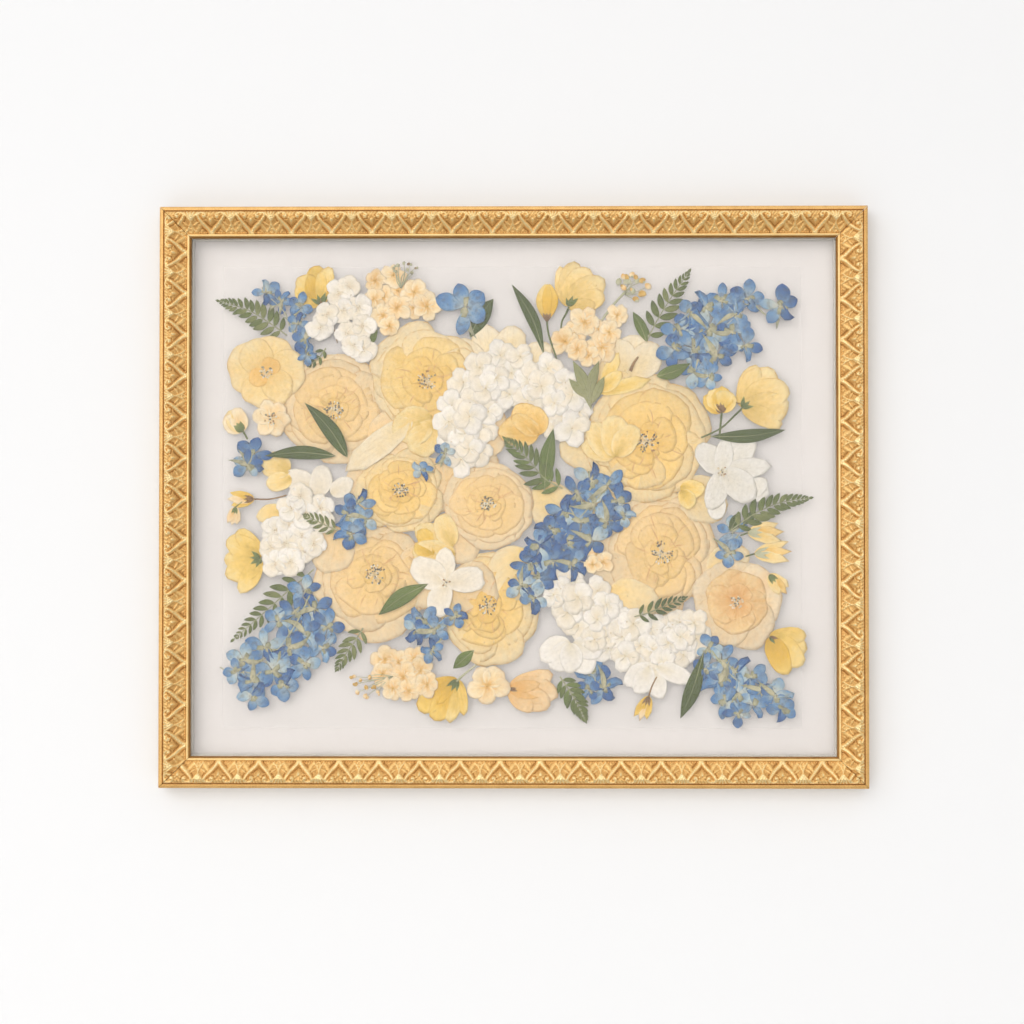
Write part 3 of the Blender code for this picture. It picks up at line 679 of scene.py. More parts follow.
# ---- Yellow cups pressed from the side ---------------------------------------------------------
# Buttercup-yellow blooms whose petals fan out from a green calyx; some keep a bit of stalk.
yellow = (petal_finish("cup_pale", (214, 178, 66), (250, 214, 112), (252, 229, 160),
                       (232, 190, 96), streak=0.28, stain=0.3),
          petal_finish("cup_deep", (206, 164, 40), (238, 194, 66), (248, 214, 112),
                       (214, 162, 50), streak=0.32, stain=0.3))
butter = (petal_finish("cup_butter", (218, 184, 88), (250, 218, 138), (251, 230, 172),
                       (232, 190, 112), streak=0.28, speck=0.25, stain=0.25),
          petal_finish("cup_butter_deep", (222, 172, 66), (244, 200, 104), (250, 219, 146),
                       (214, 160, 76), streak=0.3))
ragged_peach = (petal_finish("ragged_peach", (240, 190, 112), (246, 212, 158), (249, 225, 184),
                             (232, 184, 120), streak=0.3, speck=0.4),
                petal_finish("ragged_peach_deep", (236, 178, 90), (244, 202, 134),
                             (248, 218, 166), (222, 170, 104), streak=0.3))
calyx_green = petal_finish("calyx_green", (88, 100, 44), (110, 124, 60), (144, 150, 84),
                           (86, 92, 56), streak=0.3)
calyx_brown = petal_finish("calyx_brown", (112, 82, 46), (140, 106, 62), (166, 132, 84),
                           (92, 66, 40), streak=0.3)
stalk_green = petal_finish("stalk_green", (84, 98, 46), (106, 118, 60), (124, 134, 76),
                           (80, 90, 56), streak=0.3)
stalk_pale = petal_finish("stalk_pale", (176, 178, 140), (196, 196, 164), (208, 206, 180),
                          (150, 148, 112), streak=0.3)
stalk_brown = petal_finish("stalk_brown", (134, 100, 58), (156, 122, 76), (176, 144, 98),
                           (104, 78, 46), streak=0.3)


def side_bloom(flower, base, finishes, petals, sepals):
    """petals: heading, length, width, finish, depth. sepals: heading, length, finish."""
    longest = max(p[1] for p in petals)

    def reach(x, z, t):
        return min(1.0, math.dist((x, z), base) / longest)

    for heading, length, width, which, depth in petals:
        flower.petal(base, heading, length, width, finishes[which], depth=depth, tilt=0.04,
                     ruffle=0.06, jag=0.035, reach=reach, cells=(18, 10), spread=70)
    for heading, length, finish in sepals:
        a = math.radians(heading)
        tip = (base[0] + length * math.sin(a), base[1] + length * math.cos(a))
        flower.leaf(base, tip, 0.36 * length, finish, depth=-0.2, full=0.7)


# name, layer, seed, finishes, base, petals, sepals, then stalks: points, width, finish, depth,
# taper.
green, brown = calyx_green, calyx_brown
for name, y, seed, finishes, base, petals, sepals, stalks in (
        ("buttercup_upper_left", 3.85, 41, yellow, (-148.0, 148.0),
         ((-58, 22, 17, 0, 0.12), (-34, 27, 20, 0, 0.08), (-10, 29, 20, 1, 0.05),
          (11, 31, 14, 0, 0.02), (-22, 25, 11, 1, -0.03), (2, 26, 9, 0, -0.06)),
         ((-60, 9, green), (-20, 8, green), (22, 10, green), (40, 9, green), (0, 5, brown)), ()),
        ("poppy_yellow_upper", 3.15, 42, butter, (42.5, 146.0),
         ((-12, 32, 14, 0, 0.14), (7, 34, 21, 0, 0.10), (30, 34, 25, 0, 0.06),
          (53, 35, 24, 0, 0.03), (73, 31, 17, 0, 0.0), (88, 22, 11, 0, -0.04)),
         ((-14, 7, green), (24, 9, green), (50, 10, green)),
         (([(43, 145.5), (40.5, 140), (37.5, 134), (36.8, 126)], 1.6, stalk_green, -0.1, 0.2),)),
        ("buttercup_right", 2.45, 43, butter, (175.5, 68.0),
         ((18, 35, 18, 0, 0.14), (40, 38, 28, 0, 0.10), (66, 38, 28, 0, 0.06),
          (91, 37, 24, 0, 0.03), (112, 34, 15, 0, -0.02)),
         ((10, 9, green), (50, 8, green), (84, 9, green)),
         (([(177, 69), (170, 62), (159, 52), (144.3, 45)], 1.5, stalk_green, 0.1, 0.2),
          ([(181, 71), (174, 71), (167, 74)], 1.2, brown, 0.1, 0.5))),
        ("buttercup_left", 2.45, 44, yellow, (-194.0, -47.5),
         ((-36, 28, 15, 0, 0.12), (-62, 29, 21, 0, 0.08), (-92, 28, 21, 0, 0.05),
          (-122, 29, 21, 0, 0.02), (-150, 31, 15, 0, 0.0)),
         ((-50, 9, green), (-85, 8, green), (-120, 9, green), (-155, 8, green)), ()),
        ("buttercup_bottom", 3.15, 45, yellow, (-42.5, -140.5),
         ((-108, 35, 13, 0, 0.13), (-128, 37, 21, 1, 0.09), (-150, 37, 21, 1, 0.05),
          (-170, 33, 16, 0, 0.02), (170, 28, 11, 0, 0.0), (-140, 27, 8, 1, -0.04)),
         ((-120, 10, green), (-150, 10, green), (-176, 9, green)),
         (([(-43.5, -142), (-37, -136), (-28, -129)], 1.8, stalk_pale, -0.1, 0.2),)),
        ("bloom_peach_bottom", 3.15, 46, ragged_peach, (-3.0, -147.5),
         ((72, 36, 17, 0, 0.13), (92, 38, 22, 0, 0.09), (112, 35, 20, 0, 0.05),
          (134, 24, 14, 0, 0.02), (98, 27, 12, 1, -0.03), (80, 24, 10, 1, -0.06)),
         ((84, 6, brown), (104, 7, brown)), ())):
    flower = Pressed(name + "_petals", y, seed)
    side_bloom(flower, base, finishes, petals, sepals)
    if name == "buttercup_upper_left":
        flower.dot(-147.6, 149.0, 2.6, brown, depth=-0.25)
    if name == "buttercup_left":
        flower.dot(-193.8, -49.5, 3.0, green, depth=-0.25, long=1.5)
    for points, width, finish, depth, taper in stalks:
        flower.stem(points, width, finish, depth=depth, taper=taper)
    flower.settle("petal_peach" if "peach" in name else "petal_yellow", name, 0.06)


# ---- White hydrangea and small white florets ---------------------------------------------------
# Papery four-petalled florets shingled along a curved head, and looser white clusters with
# brown stalks between them.
papery = (petal_finish("hydrangea_white", (236, 226, 198), (247, 242, 230), (251, 248, 241),
                       (228, 220, 202), streak=0.14, blotch=0.2, speck=0.1, stain=0.25,
                       rim_strength=0.45),
          petal_finish("hydrangea_ivory", (234, 220, 188), (245, 236, 216), (248, 242, 228),
                       (224, 212, 188), streak=0.18, blotch=0.2, speck=0.15, stain=0.25,
                       rim_strength=0.45))
centre_tan = petal_finish("floret_centre", (196, 172, 122), (214, 194, 148), (226, 210, 170),
                          (160, 132, 88))


def floret(flower, x, z, radius, finishes, turn, depth, count=4, wide=1.08, heart=centre_tan,
           notch=0.03, cells=(6, 4), ruffle=0.06, heart_size=1.1):
    """A small open flower of even petals with a dot at its heart."""
    rnd = flower.random
    for k in range(count):
        heading = turn + 360 * k / count + rnd.uniform(-10, 10)
        flower.petal((x, z), heading, radius * rnd.uniform(0.9, 1.1),
                     radius * wide * rnd.uniform(0.88, 1.12), rnd.choice(finishes),
                     depth=depth + (0.03 if k % 2 else 0.0), tilt=0.05, ruffle=ruffle,
                     jag=0.03, notch=rnd.choice((0, notch)), cells=cells, claw=0.2)
    flower.dot(x, z, heart_size, heart, depth=depth - 0.07, turn=math.radians(turn))


def along_path(points, t):
    """The place and sideways direction at t (0 to 1) along a broken line."""
    points = [Vector(p) for p in points]
    lengths = [(q - p).length for p, q in zip(points, points[1:])]
    left = t * sum(lengths)
    for p, q, length in zip(points, points[1:], lengths):
        if left <= length:
            way = (q - p) / length
            return p + way * left, Vector((-way[1], way[0]))
        left -= length
    way = (points[-1] - points[-2]).normalized()
    return points[-1], Vector((-way[1], way[0]))


def hydrangea(name, y, seed, path, half_width, lanes, count, radius):
    """Florets in lanes along the head, the outer lanes at the back."""
    flower = Pressed(name + "_florets", y, seed)
    rnd = flower.random
    order = [(lane, k) for lane in range(lanes) for k in range(count)]
    order.sort(key=lambda spot: -abs(spot[0] - (lanes - 1) / 2) + rnd.uniform(-0.8, 0.8))
    for place, (lane, k) in enumerate(order):
        t = (k + 0.5 * (lane % 2) + rnd.uniform(-0.2, 0.2)) / count
        spot, side = along_path(path, min(max(t, 0.0), 1.0))
        end = min(1.0, 3.2 * t + 0.45, 3.2 * (1 - t) + 0.45)
        out = (lane / (lanes - 1) * 2 - 1 + rnd.uniform(-0.12, 0.12)) * half_width * end
        spot = spot + side * out
        floret(flower, spot[0], spot[1], radius * rnd.uniform(0.85, 1.15), papery,
               rnd.uniform(0, 90), 0.28 - 0.58 * place / len(order))
    return flower


hydrangea("hydrangea_upper", 1.75, 51,
          ((-33, 30), (-38, 50), (-31, 73), (-12, 92), (8, 94), (24, 84), (37, 66), (50, 47)),
          15, 3, 12, 12.8).settle("petal_white", "hydrangea_upper", 0.05)
hydrangea("hydrangea_lower", 2.45, 52,
          ((33, -70), (51, -76), (63, -95), (84, -109), (108, -116), (128, -109), (142, -94)),
          13.5, 3, 11, 12.2).settle("petal_white", "hydrangea_lower", 0.05)

for name, y, seed, spots, petals in (
        ("florets_white_upper_left", 1.75, 53,
         ((-134, 156, 9), (-126, 161, 8), (-119, 145, 9.5), (-130, 143, 9), (-148, 130, 9.5),
          (-143, 140, 8), (-127, 125, 9), (-115, 131, 8.5), (-115, 113, 9.5), (-123, 116, 8)),
         4),
        ("florets_white_left", 1.75, 54,
         ((-183, -26, 9), (-172, -22, 9), (-162, -30, 9.5), (-185, -39, 9), (-174, -36, 10),
          (-161, -42, 9), (-182, -51, 9), (-171, -50, 9.5), (-153, -36, 8.5), (-158, -14, 10),
          (-170, -9, 9.5), (-148, -9, 9), (-163, 0, 9), (-146, -20, 8)), 5)):
    flower = Pressed(name + "_petals", y, seed)
    rnd = flower.random
    for k, (x, z, radius) in enumerate(spots):
        turn = rnd.uniform(0, 90)
        floret(flower, x, z, 1.22 * radius, papery, turn, 0.22 - 0.45 * k / len(spots), petals,
               1.15, anther_brown, 0.05, (8, 5), 0.08, 0.8)
        for far in range(5):
            a = rnd.uniform(0, 2 * math.pi)
            flower.dot(x + 1.7 * math.sin(a), z + 1.7 * math.cos(a), 0.55, anther_brown,
                       depth=-0.3)
    flower.settle("petal_white", name, 0.05)
flower = Pressed("stems_white_florets", 3.15, 55)
for points in (((-139, 136), (-137, 126), (-135, 118)), ((-136, 126), (-128, 132)),
               ((-112, 124), (-109, 130), (-105, 137)), ((-190, -44), (-180, -40), (-170, -36)),
               ((-176, -18), (-173, -30), (-171, -44))):
    flower.stem(points, 1.0, stalk_brown, taper=0.3)
flower.settle("leaf_green", None, 0.06)


# ---- Cream stock and primrose florets ----------------------------------------------------------
# Clusters of small cream florets with orange hearts, on greenish stalks.
stock = (petal_finish("stock_cream", (234, 178, 74), (250, 226, 176), (251, 236, 204),
                      (226, 186, 122), streak=0.24, speck=0.2, stain=0.35),
         petal_finish("stock_buff", (228, 170, 72), (248, 218, 162), (249, 230, 192),
                      (220, 176, 112), streak=0.26, stain=0.35))
stock_heart = petal_finish("stock_heart", (196, 150, 52), (218, 176, 84), (232, 198, 116),
                           (160, 124, 48))

# name, layer, seed, node, petals to a floret, florets: across, up, radius.
for name, y, seed, node, count, spots in (
        ("stock_upper_left_florets", 2.45, 61, "stock_upper_left", 5,
         ((-88, 158, 8), (-100, 153, 8), (-77, 145, 8), (-106, 166, 7), (-92, 170, 8),
          (-107, 152, 7.5), (-100, 139, 8.5), (-89, 145, 9), (-76, 157, 9), (-66, 146, 9.5),
          (-95, 131, 7))),
        ("stock_upper_right_florets", 2.45, 62, "stock_upper_right", 5,
         ((47, 126, 8.5), (66, 128, 8), (55, 134, 10), (40, 119, 9), (80, 139, 7.5),
          (68, 114, 10), (58, 108, 8), (74, 126, 8), (49, 113, 7.5))),
        ("stock_lower_florets", 2.45, 63, "stock_lower", 5,
         ((-88, -127, 8), (-98, -125, 9), (-76, -124, 8), (-100, -136, 8), (-71, -134, 9),
          (-84, -138, 9), (-92, -147, 8), (-80, -149, 7.5), (-66, -144, 8))),
        ("primrose_cream_bottom", 1.75, 64, None, 5, ((-20, -145, 13.5),)),
        ("florets_cream_middle", 1.75, 65, None, 4,
         ((64, -44, 7), (69, -50, 7), (61, -52, 6)))):
    flower = Pressed(name, y, seed)
    rnd = flower.random
    for k, (x, z, radius) in enumerate(spots):
        floret(flower, x, z, 1.28 * radius, stock, rnd.uniform(0, 72),
               0.24 - 0.48 * k / len(spots), count, 0.92, stock_heart, 0.1, (10, 6), 0.12, 1.5)
        for far in range(6):
            a = rnd.uniform(0, 2 * math.pi)
            flower.dot(x + 1.5 * math.sin(a), z + 1.5 * math.cos(a), 0.6, stock_heart,
                       depth=-0.3)
    flower.settle("petal_cream", node, 0.05)


# ---- Delphiniums and larkspur ------------------------------------------------------------------
# Blue spurred florets pressed together, creased slate where they are doubled over and faded
# to grey-white near the throat, with olive anthers.
blue = (petal_finish("delphinium_blue", (170, 186, 190), (104, 150, 194), (66, 116, 172),
                     (44, 86, 140), streak=0.36, blotch=0.45, crease=((98, 112, 128), 0.65)),
        petal_finish("delphinium_deep", (124, 154, 178), (64, 112, 170), (36, 82, 146),
                     (34, 74, 128), streak=0.36, blotch=0.45, crease=((70, 86, 108), 0.75)),
        petal_finish("delphinium_pale", (210, 214, 200), (168, 194, 206), (114, 158, 200),
                     (76, 116, 166), streak=0.36, blotch=0.45, crease=((138, 140, 128), 0.6)))
throat = petal_finish("delphinium_throat", (206, 200, 164), (178, 176, 142), (148, 152, 122),
                      (106, 106, 72), streak=0.4, blotch=0.45, crease=((130, 128, 104), 0.65))
anther_olive = petal_finish("anther_olive", (96, 92, 52), (118, 112, 70), (140, 130, 88),
                            (70, 66, 40))
FOLDED = 0.24                  # share of petals that are doubled over


def delphinium(flower, x, z, radius, turn, depth, deep):
    """A spurred floret; deep is the share of its petals in the deep blue."""
    rnd = flower.random
    a = math.radians(turn + 180 + rnd.uniform(-30, 30))
    far = (x + 1.5 * radius * math.sin(a), z + 1.5 * radius * math.cos(a))
    bow = rnd.uniform(-0.12, 0.12)
    flower.leaf((x, z), far, 0.34 * radius, throat, bow=bow, depth=depth + 0.12, full=0.55)
    for k in range(5):
        heading = turn + 72 * k + rnd.uniform(-14, 14)
        pick = rnd.random()
        finish = blue[1] if pick < 0.7 * deep else blue[2] if pick > 0.8 else blue[0]
        size, wide = radius * rnd.uniform(1.0, 1.4), radius * rnd.uniform(0.58, 0.95)
        layer = depth + 0.04 * (k % 3)
        if rnd.random() < FOLDED:
            flower.petal((x, z), heading, size, 1.2 * wide, finish, depth=layer,
                         tilt=rnd.uniform(-0.1, 0.1), ruffle=0.1, jag=0.05, cells=(9, 7),
                         claw=0.35, fold=rnd.choice((-0.45, 0.45)))
            continue
        way = (math.sin(math.radians(heading)), math.cos(math.radians(heading)))
        flower.leaf((x + 0.08 * radius * way[0], z + 0.08 * radius * way[1]),
                    (x + size * way[0], z + size * way[1]), wide, finish, depth=layer,
                    bow=rnd.uniform(-0.07, 0.07), full=1.25, blunt=0.68, cells=(8, 12),
                    ridge=rnd.uniform(-0.12, 0.14))
    for k in range(3):
        flower.petal((x, z), turn + rnd.uniform(0, 360), radius * rnd.uniform(0.4, 0.75),
                     radius * rnd.uniform(0.24, 0.42), throat, depth=depth - 0.08, ruffle=0.08,
                     jag=0.08, cells=(5, 4))
    for k in range(4):
        a = rnd.uniform(0, 2 * math.pi)
        flower.dot(x + 0.14 * radius * math.sin(a), z + 0.14 * radius * math.cos(a), 0.8,
                   anther_olive, depth=depth - 0.14)


# Sprays, then single larkspur florets laid between the big flowers: name, layer, seed, deep,
# node, stems, florets (across, up, radius, turn).
for name, y, seed, deep, node, stems, spots in (
        ("delphinium_upper_left_florets", 2.45, 71, 0.35, "delphinium_upper_left",
         (((-160, 112), (-170, 128), (-176, 142), (-186, 152)),),
         ((-190, 157, 10, -20), (-178, 150, 8, 40), (-164, 146, 9, 20), (-166, 133, 8.5, 90),
          (-160, 121, 8.5, 140), (-158, 109, 7, 170))),
        ("delphinium_upper_right_florets", 1.75, 72, 0.35, "delphinium_upper_right",
         (((186, 146), (196, 138), (204, 141)), ((140, 100), (156, 124), (176, 142))),
         ((180, 152, 12, 10), (170, 140, 11, 60), (160, 150, 11, -10), (148, 146, 12, -20),
          (137, 140, 11, -40), (128, 128, 12, -80), (150, 128, 14, 120), (168, 126, 12, 70),
          (124, 113, 12, -100), (138, 114, 13, 190), (156, 108, 13, 130), (178, 116, 11, 100),
          (140, 96, 12, 200), (150, 92, 10, 160), (205, 146, 12.5, 0))),
        ("delphinium_middle_florets", 1.75, 73, 0.9, "delphinium_middle",
         (((70, 4), (48, -20), (28, -46), (14, -78)),),
         ((60, 12, 12, 10), (72, 8, 12, 30), (50, 2, 12, -40), (80, -4, 12, 60),
          (63, -6, 13, 90), (40, -12, 12, -60), (52, -20, 13, 140), (72, -20, 12, 120),
          (30, -26, 12, -80), (42, -36, 13, 160), (60, -34, 12, 130), (20, -38, 12, -60),
          (30, -50, 13, 170), (46, -52, 11, 120), (12, -52, 11, -90), (20, -62, 12, 200),
          (6, -68, 10, 220), (16, -78, 10, 180), (85, -14, 9, 90))),
        ("delphinium_lower_left_florets", 2.45, 74, 0.4, "delphinium_lower_left",
         (((-156, -76), (-168, -100), (-186, -124), (-206, -140)),
          ((-206, -140), (-216, -136), (-225, -131))),
         ((-160, -72, 11, 0), (-152, -86, 12, 50), (-168, -88, 12, -50), (-142, -100, 12, 90),
          (-160, -104, 13, 140), (-180, -96, 11, -60), (-146, -116, 11, 110),
          (-172, -116, 13, 180), (-190, -116, 12, -70), (-160, -128, 12, 160),
          (-206, -126, 11, -80), (-184, -134, 13, 200), (-176, -144, 11, 170),
          (-200, -142, 12, 220), (-212, -134, 10, -90), (-199, -153, 10, 180))),
        ("delphinium_lower_right_florets", 1.75, 75, 0.25, "delphinium_lower_right",
         (((152, -118), (168, -138), (190, -152), (204, -158)),),
         ((150, -116, 10, -30), (160, -126, 11, 20), (148, -132, 11, -70), (170, -134, 11, 60),
          (158, -142, 12, 180), (182, -138, 11, 40), (172, -150, 12, 150), (190, -148, 11, 80),
          (162, -156, 11, 200), (184, -160, 11, 160), (200, -152, 11, 90), (206, -162, 10, 130),
          (172, -166, 9, 190))),
        ("larkspur_top_middle", 1.75, 76, 0.3, None, (), ((-36.5, 145.5, 17.5, -12),)),
        ("larkspur_left", 1.75, 77, 0.4, None, (), ((-200, 32, 12, 10), (-204, 24, 10, 150))),
        ("larkspur_middle_left", 1.75, 78, 0.5, None, (),
         ((-119, -5, 11, 20), (-126, -14, 11, -60), (-116, -18, 11, 120),
          (-124, -29, 11, 190))),
        ("larkspur_lower_middle", 1.05, 79, 0.4, None, (),
         ((-70, -94, 11, -30), (-60, -102, 10, 120), (-44, -92, 9, 20), (-62, -118, 9, 200),
          (-74, -103, 9, 240))),
        ("larkspur_bottom", 3.15, 80, 0.3, None, (),
         ((62, -136, 12, 0), (70, -146, 12, 140), (58, -148, 9, 220))),
        ("larkspur_right", 2.45, 81, 0.3, None, (), ((168, -27, 12, 0), (166, -43, 11, 180))),
        ("larkspur_bud_middle", 1.05, 82, 0.2, None, (),
         ((-70, 20, 7, -60), (-52, 33, 8, 10)))):
    flower = Pressed(name, y, seed)
    rnd = flower.random
    for points in stems:
        flower.stem(points, 1.4, stalk_pale, depth=0.25, taper=0.4)
    for k, (x, z, radius, turn) in enumerate(spots):
        delphinium(flower, x, z, radius, turn, 0.24 - 0.5 * k / len(spots), deep)
        if k % 3 == 1:         # a withered leaf lies over every third floret
            a = math.radians(turn + rnd.uniform(120, 240))
            end = (x + 1.6 * radius * math.sin(a), z + 1.6 * radius * math.cos(a))
            flower.leaf((x, z), end, 0.36 * radius, throat, depth=-0.42, full=0.5,
                        bow=rnd.uniform(-0.16, 0.16), cells=(4, 10))
    flower.settle("petal_blue", node, 0.05)


# ---- White dogwood and loose white petals ------------------------------------------------------
# One four-petalled white flower over the lower roses, and papery petals used as fill.
flower = Pressed("dogwood_white_petals", 1.75, 91)
for heading, length, width in ((-64, 31, 24), (-2, 29, 15), (82, 31, 20), (202, 28, 19)):
    flower.petal((-51, -66), heading, length, width, papery[1], tilt=0.05, ruffle=0.1,
                 jag=0.05, cells=(16, 10), claw=0.3, notch=0.06)
stamens(flower, -51, -66, 3.6, 14, -0.15, (anther_brown, anther_cream))
flower.settle("petal_white", "dogwood_white", 0.06)

sheer_white = petal_finish("petal_sheer_white", (244, 238, 220), (250, 247, 236),
                           (252, 250, 243), (216, 208, 190), alpha=0.86, streak=0.2)
pale_cream = petal_finish("petal_pale_cream", (242, 218, 160), (248, 230, 188),
                          (248, 236, 208), (226, 200, 152), streak=0.24, speck=0.2)
# name, layer, slot, finish, petals: base, heading, length, width
under_peach, under_cream = peach[0], cream[0]
for name, y, slot, finish, petals in (
        ("petals_under_roses_left", 4.05, "petal_peach", under_peach,
         (((-100, 30), 200, 46, 44), ((-66, 30), 170, 46, 46), ((-52, 12), 60, 44, 40),
          ((-56, -18), 130, 40, 40), ((-70, -36), 180, 50, 44), ((-132, -22), 200, 40, 34),
          ((-50, -70), 90, 40, 40), ((-112, 48), 90, 46, 40), ((-30, 30), 20, 44, 40))),
        ("petals_under_roses_right", 4.05, "petal_cream", under_cream,
         (((60, 60), 190, 44, 40), ((84, -2), 110, 50, 44), ((70, 10), 180, 44, 36),
          ((128, 8), 120, 40, 36), ((150, -60), 60, 34, 30), ((10, -40), 210, 44, 40),
          ((74, -70), 120, 40, 34), ((62, 84), 60, 40, 34), ((20, 10), 150, 44, 36))),
        ("loose_petals_top_middle", 3.85, "petal_cream", pale_cream,
         (((-14, 96), -12, 38, 26), ((-6, 98), 12, 36, 24), ((-24, 92), -34, 34, 24),
          ((6, 92), 36, 34, 22), ((-30, 84), -60, 28, 20))),
        ("white_bloom_right", 2.45, "petal_white", sheer_white,
         (((160, 19), 36, 37, 27), ((160, 19), -42, 27, 20), ((160, 19), 84, 38, 17),
          ((160, 19), 194, 30, 18), ((160, 19), 128, 32, 24), ((160, 19), 6, 25, 15))),
        ("loose_petals_right", 2.45, "petal_white", sheer_white,
         (((176, 10), 120, 22, 18), ((158, 0), 190, 18, 14), ((178, 4), 70, 18, 15))),
        ("loose_petals_bottom", 2.45, "petal_white", papery[0],
         (((44, -112), -112, 26, 20), ((44, -112), -150, 26, 20), ((46, -112), 150, 27, 21),
          ((46, -112), 110, 24, 18), ((44, -112), 178, 24, 18), ((108, -130), -118, 26, 17),
          ((108, -132), 172, 24, 16), ((110, -130), 112, 28, 15), ((104, -130), -160, 24, 16))),
        ("calla_petal_upper", 3.15, "petal_cream", pale_cream,
         (((88, 94), 12, 31, 32), ((90, 92), 40, 32, 26), ((86, 96), -20, 28, 26))),
        ("petals_yellow_left", 3.15, "petal_yellow", butter[0],
         (((-171, 20), -70, 24, 21), ((-170, 14), -105, 20, 15))),
        ("petal_long_left", 2.45, "petal_cream", pale_cream,
         (((-78, 59), -128, 66, 21),)),
        ("petals_yellow_middle", 2.45, "petal_yellow", butter[0],
         (((-62, 62), -118, 34, 30), ((-60, 58), -150, 30, 26))),
        ("petals_yellow_centre", 2.45, "petal_yellow", butter[0],
         (((-46, -40), -62, 34, 22), ((-44, -44), -88, 34, 20), ((-46, -38), -24, 26, 18))),
        ("petals_yellow_inner", 2.45, "petal_yellow", yellow[1],
         (((-58, -46), -30, 25, 15), ((-60, -44), -70, 18, 12))),
        ("cup_yellow_in_arch", 1.05, "petal_yellow", butter[1],
         (((20, 47), -78, 32, 24), ((20, 48), -40, 28, 22), ((20, 47), -8, 22, 18),
          ((20, 48), -56, 24, 14))),
        ("petals_yellow_right", 1.75, "petal_yellow", yellow[0],
         (((128, 7), 100, 19, 15), ((129, 5), 148, 17, 13))),
        ("petals_yellow_upper", 2.45, "petal_yellow", yellow[0],
         (((68, 82), 25, 32, 11), ((66, 80), 76, 44, 12), ((67, 81), 48, 22, 12))),
        ("cup_green_yellow", 1.75, "petal_yellow", butter[0],
         (((78, 31), -64, 27, 20), ((78, 30), -34, 31, 24), ((79, 30), -2, 32, 24),
          ((79, 31), 32, 27, 20))),
        ("petal_yellow_lower_left", 3.15, "petal_yellow", butter[0],
         (((-176, -10), -104, 22, 14),)),
        ("petals_white_left", 3.15, "petal_white", papery[1],
         (((-152, 4), -60, 26, 20), ((-150, 0), 10, 24, 18), ((-140, 2), 60, 20, 15)))):
    flower = Pressed(name, y, len(name) * 7)
    for k, (base, heading, length, width) in enumerate(petals):
        flower.petal(base, heading, length, width, finish, depth=0.15 - 0.07 * k, tilt=0.06,
                     ruffle=0.06, jag=0.035, cells=(16, 10), claw=0.15)
    if "bloom" in name:
        stamens(flower, *petals[0][0], 4.0, 16, -0.28, (anther_cream, anther_brown, filament))
    flower.settle(slot, None, 0.06)

# The calla's spadix and the pale narcissus-like bloom on the left.
flower = Pressed("spadix_upper", 1.75, 92)
flower.stem([(90, 96), (92.5, 102), (96, 107)], 2.6, stalk_brown, taper=0.5)
flower.settle("petal_yellow")
flower = Pressed("bloom_pale_left", 2.45, 93)
for heading in (-80, -20, 40, 95, 150, 215):
    flower.petal((-186, 60), heading, 15, 13, stock[0], tilt=0.06, ruffle=0.07, claw=0.2,
                 cells=(10, 7))
stamens(flower, -186, 60, 5, 16, -0.2, (anther_brown, anther_grey))
flower.settle("petal_cream")


# ---- Buds --------------------------------------------------------------------------------------
# Closed and half-open buds with green or brown sepals on thin stalks.
def bud(name, y, seed, base, tip, width, finishes, sepal, stalk=None, petals=3):
    """Overlapping petals in a narrow fan, gripped by three sepals at the base."""
    flower = Pressed(name, y, seed)
    if stalk:
        flower.stem(stalk[1], stalk[2], stalk[0], depth=0.1, taper=0.2)
    length = math.dist(base, tip)
    turn = math.degrees(math.atan2(tip[0] - base[0], tip[1] - base[1]))
    for k in range(petals):
        lean = (k - (petals - 1) / 2) * 16
        flower.petal(base, turn + lean, length * (1.0 - 0.05 * abs(lean) / 16), width * 0.8,
                     finishes[k % len(finishes)], depth=0.06 - 0.05 * k, ruffle=0.05, jag=0.04,
                     cells=(10, 8), dome=0.08)
    for lean in (-22, 0, 22):
        a = math.radians(turn + lean)
        end = (base[0] + 0.42 * length * math.sin(a), base[1] + 0.42 * length * math.cos(a))
        flower.leaf(base, end, 0.26 * width, sepal, depth=-0.16, full=0.7)
    flower.settle("petal_yellow", None, 0.06)


flower = Pressed("bud_yellow_upper", 2.45, 101)
flower.stem(((26, 139), (27, 126), (32, 110), (38, 92)), 1.5, stalk_green, depth=0.1, taper=0.2)
for lean, width, depth, finish in ((-1, 9, 0.04, yellow[0]), (1, 9, 0.0, yellow[1]),
                                   (0, 8, -0.06, yellow[1])):
    flower.leaf((26 + lean, 135), (26.5 + 1.5 * lean, 163.5), width, finish, full=1.2,
                blunt=0.7, bow=0.1 * lean, depth=depth, cells=(6, 14))
for lean in (-3, 0, 3):
    flower.leaf((26, 134), (26 + lean, 141), 2.6, brown, depth=-0.16)
flower.settle("petal_yellow", None, 0.06)
bud("bud_peach_left", 3.15, 102, (-208, 50), (-219, 66), 19, (stock[0], butter[0]), green,
    (stalk_green, ((-208, 51), (-204, 44)), 1.6))
bud("bud_orange_right", 1.75, 103, (160, 64), (157, 84), 22, (yellow[1], yellow[0]), brown,
    (stalk_green, ((160, 65), (159, 54), (158, 44)), 1.7), 4)
bud("bud_brown_left", 2.45, 104, (-199, -2), (-219, -2), 10, (yellow[1], stock[1]), brown,
    (stalk_brown, ((-199, -2), (-186, -2), (-174, 1)), 1.3))
bud("bud_hanging_left", 2.45, 105, (-213, -8), (-216, -22), 8, (stock[1], stock[0]), green,
    (stalk_green, ((-213, -8), (-208, -4)), 1.0))
bud("bud_orange_bottom", 1.75, 106, (104, -153), (97, -171), 9, (yellow[1], stock[1]), brown,
    (stalk_brown, ((103, -156), (106, -146), (110, -138)), 1.2))
flower = Pressed("cup_yellow_lower_right", 1.75, 107)
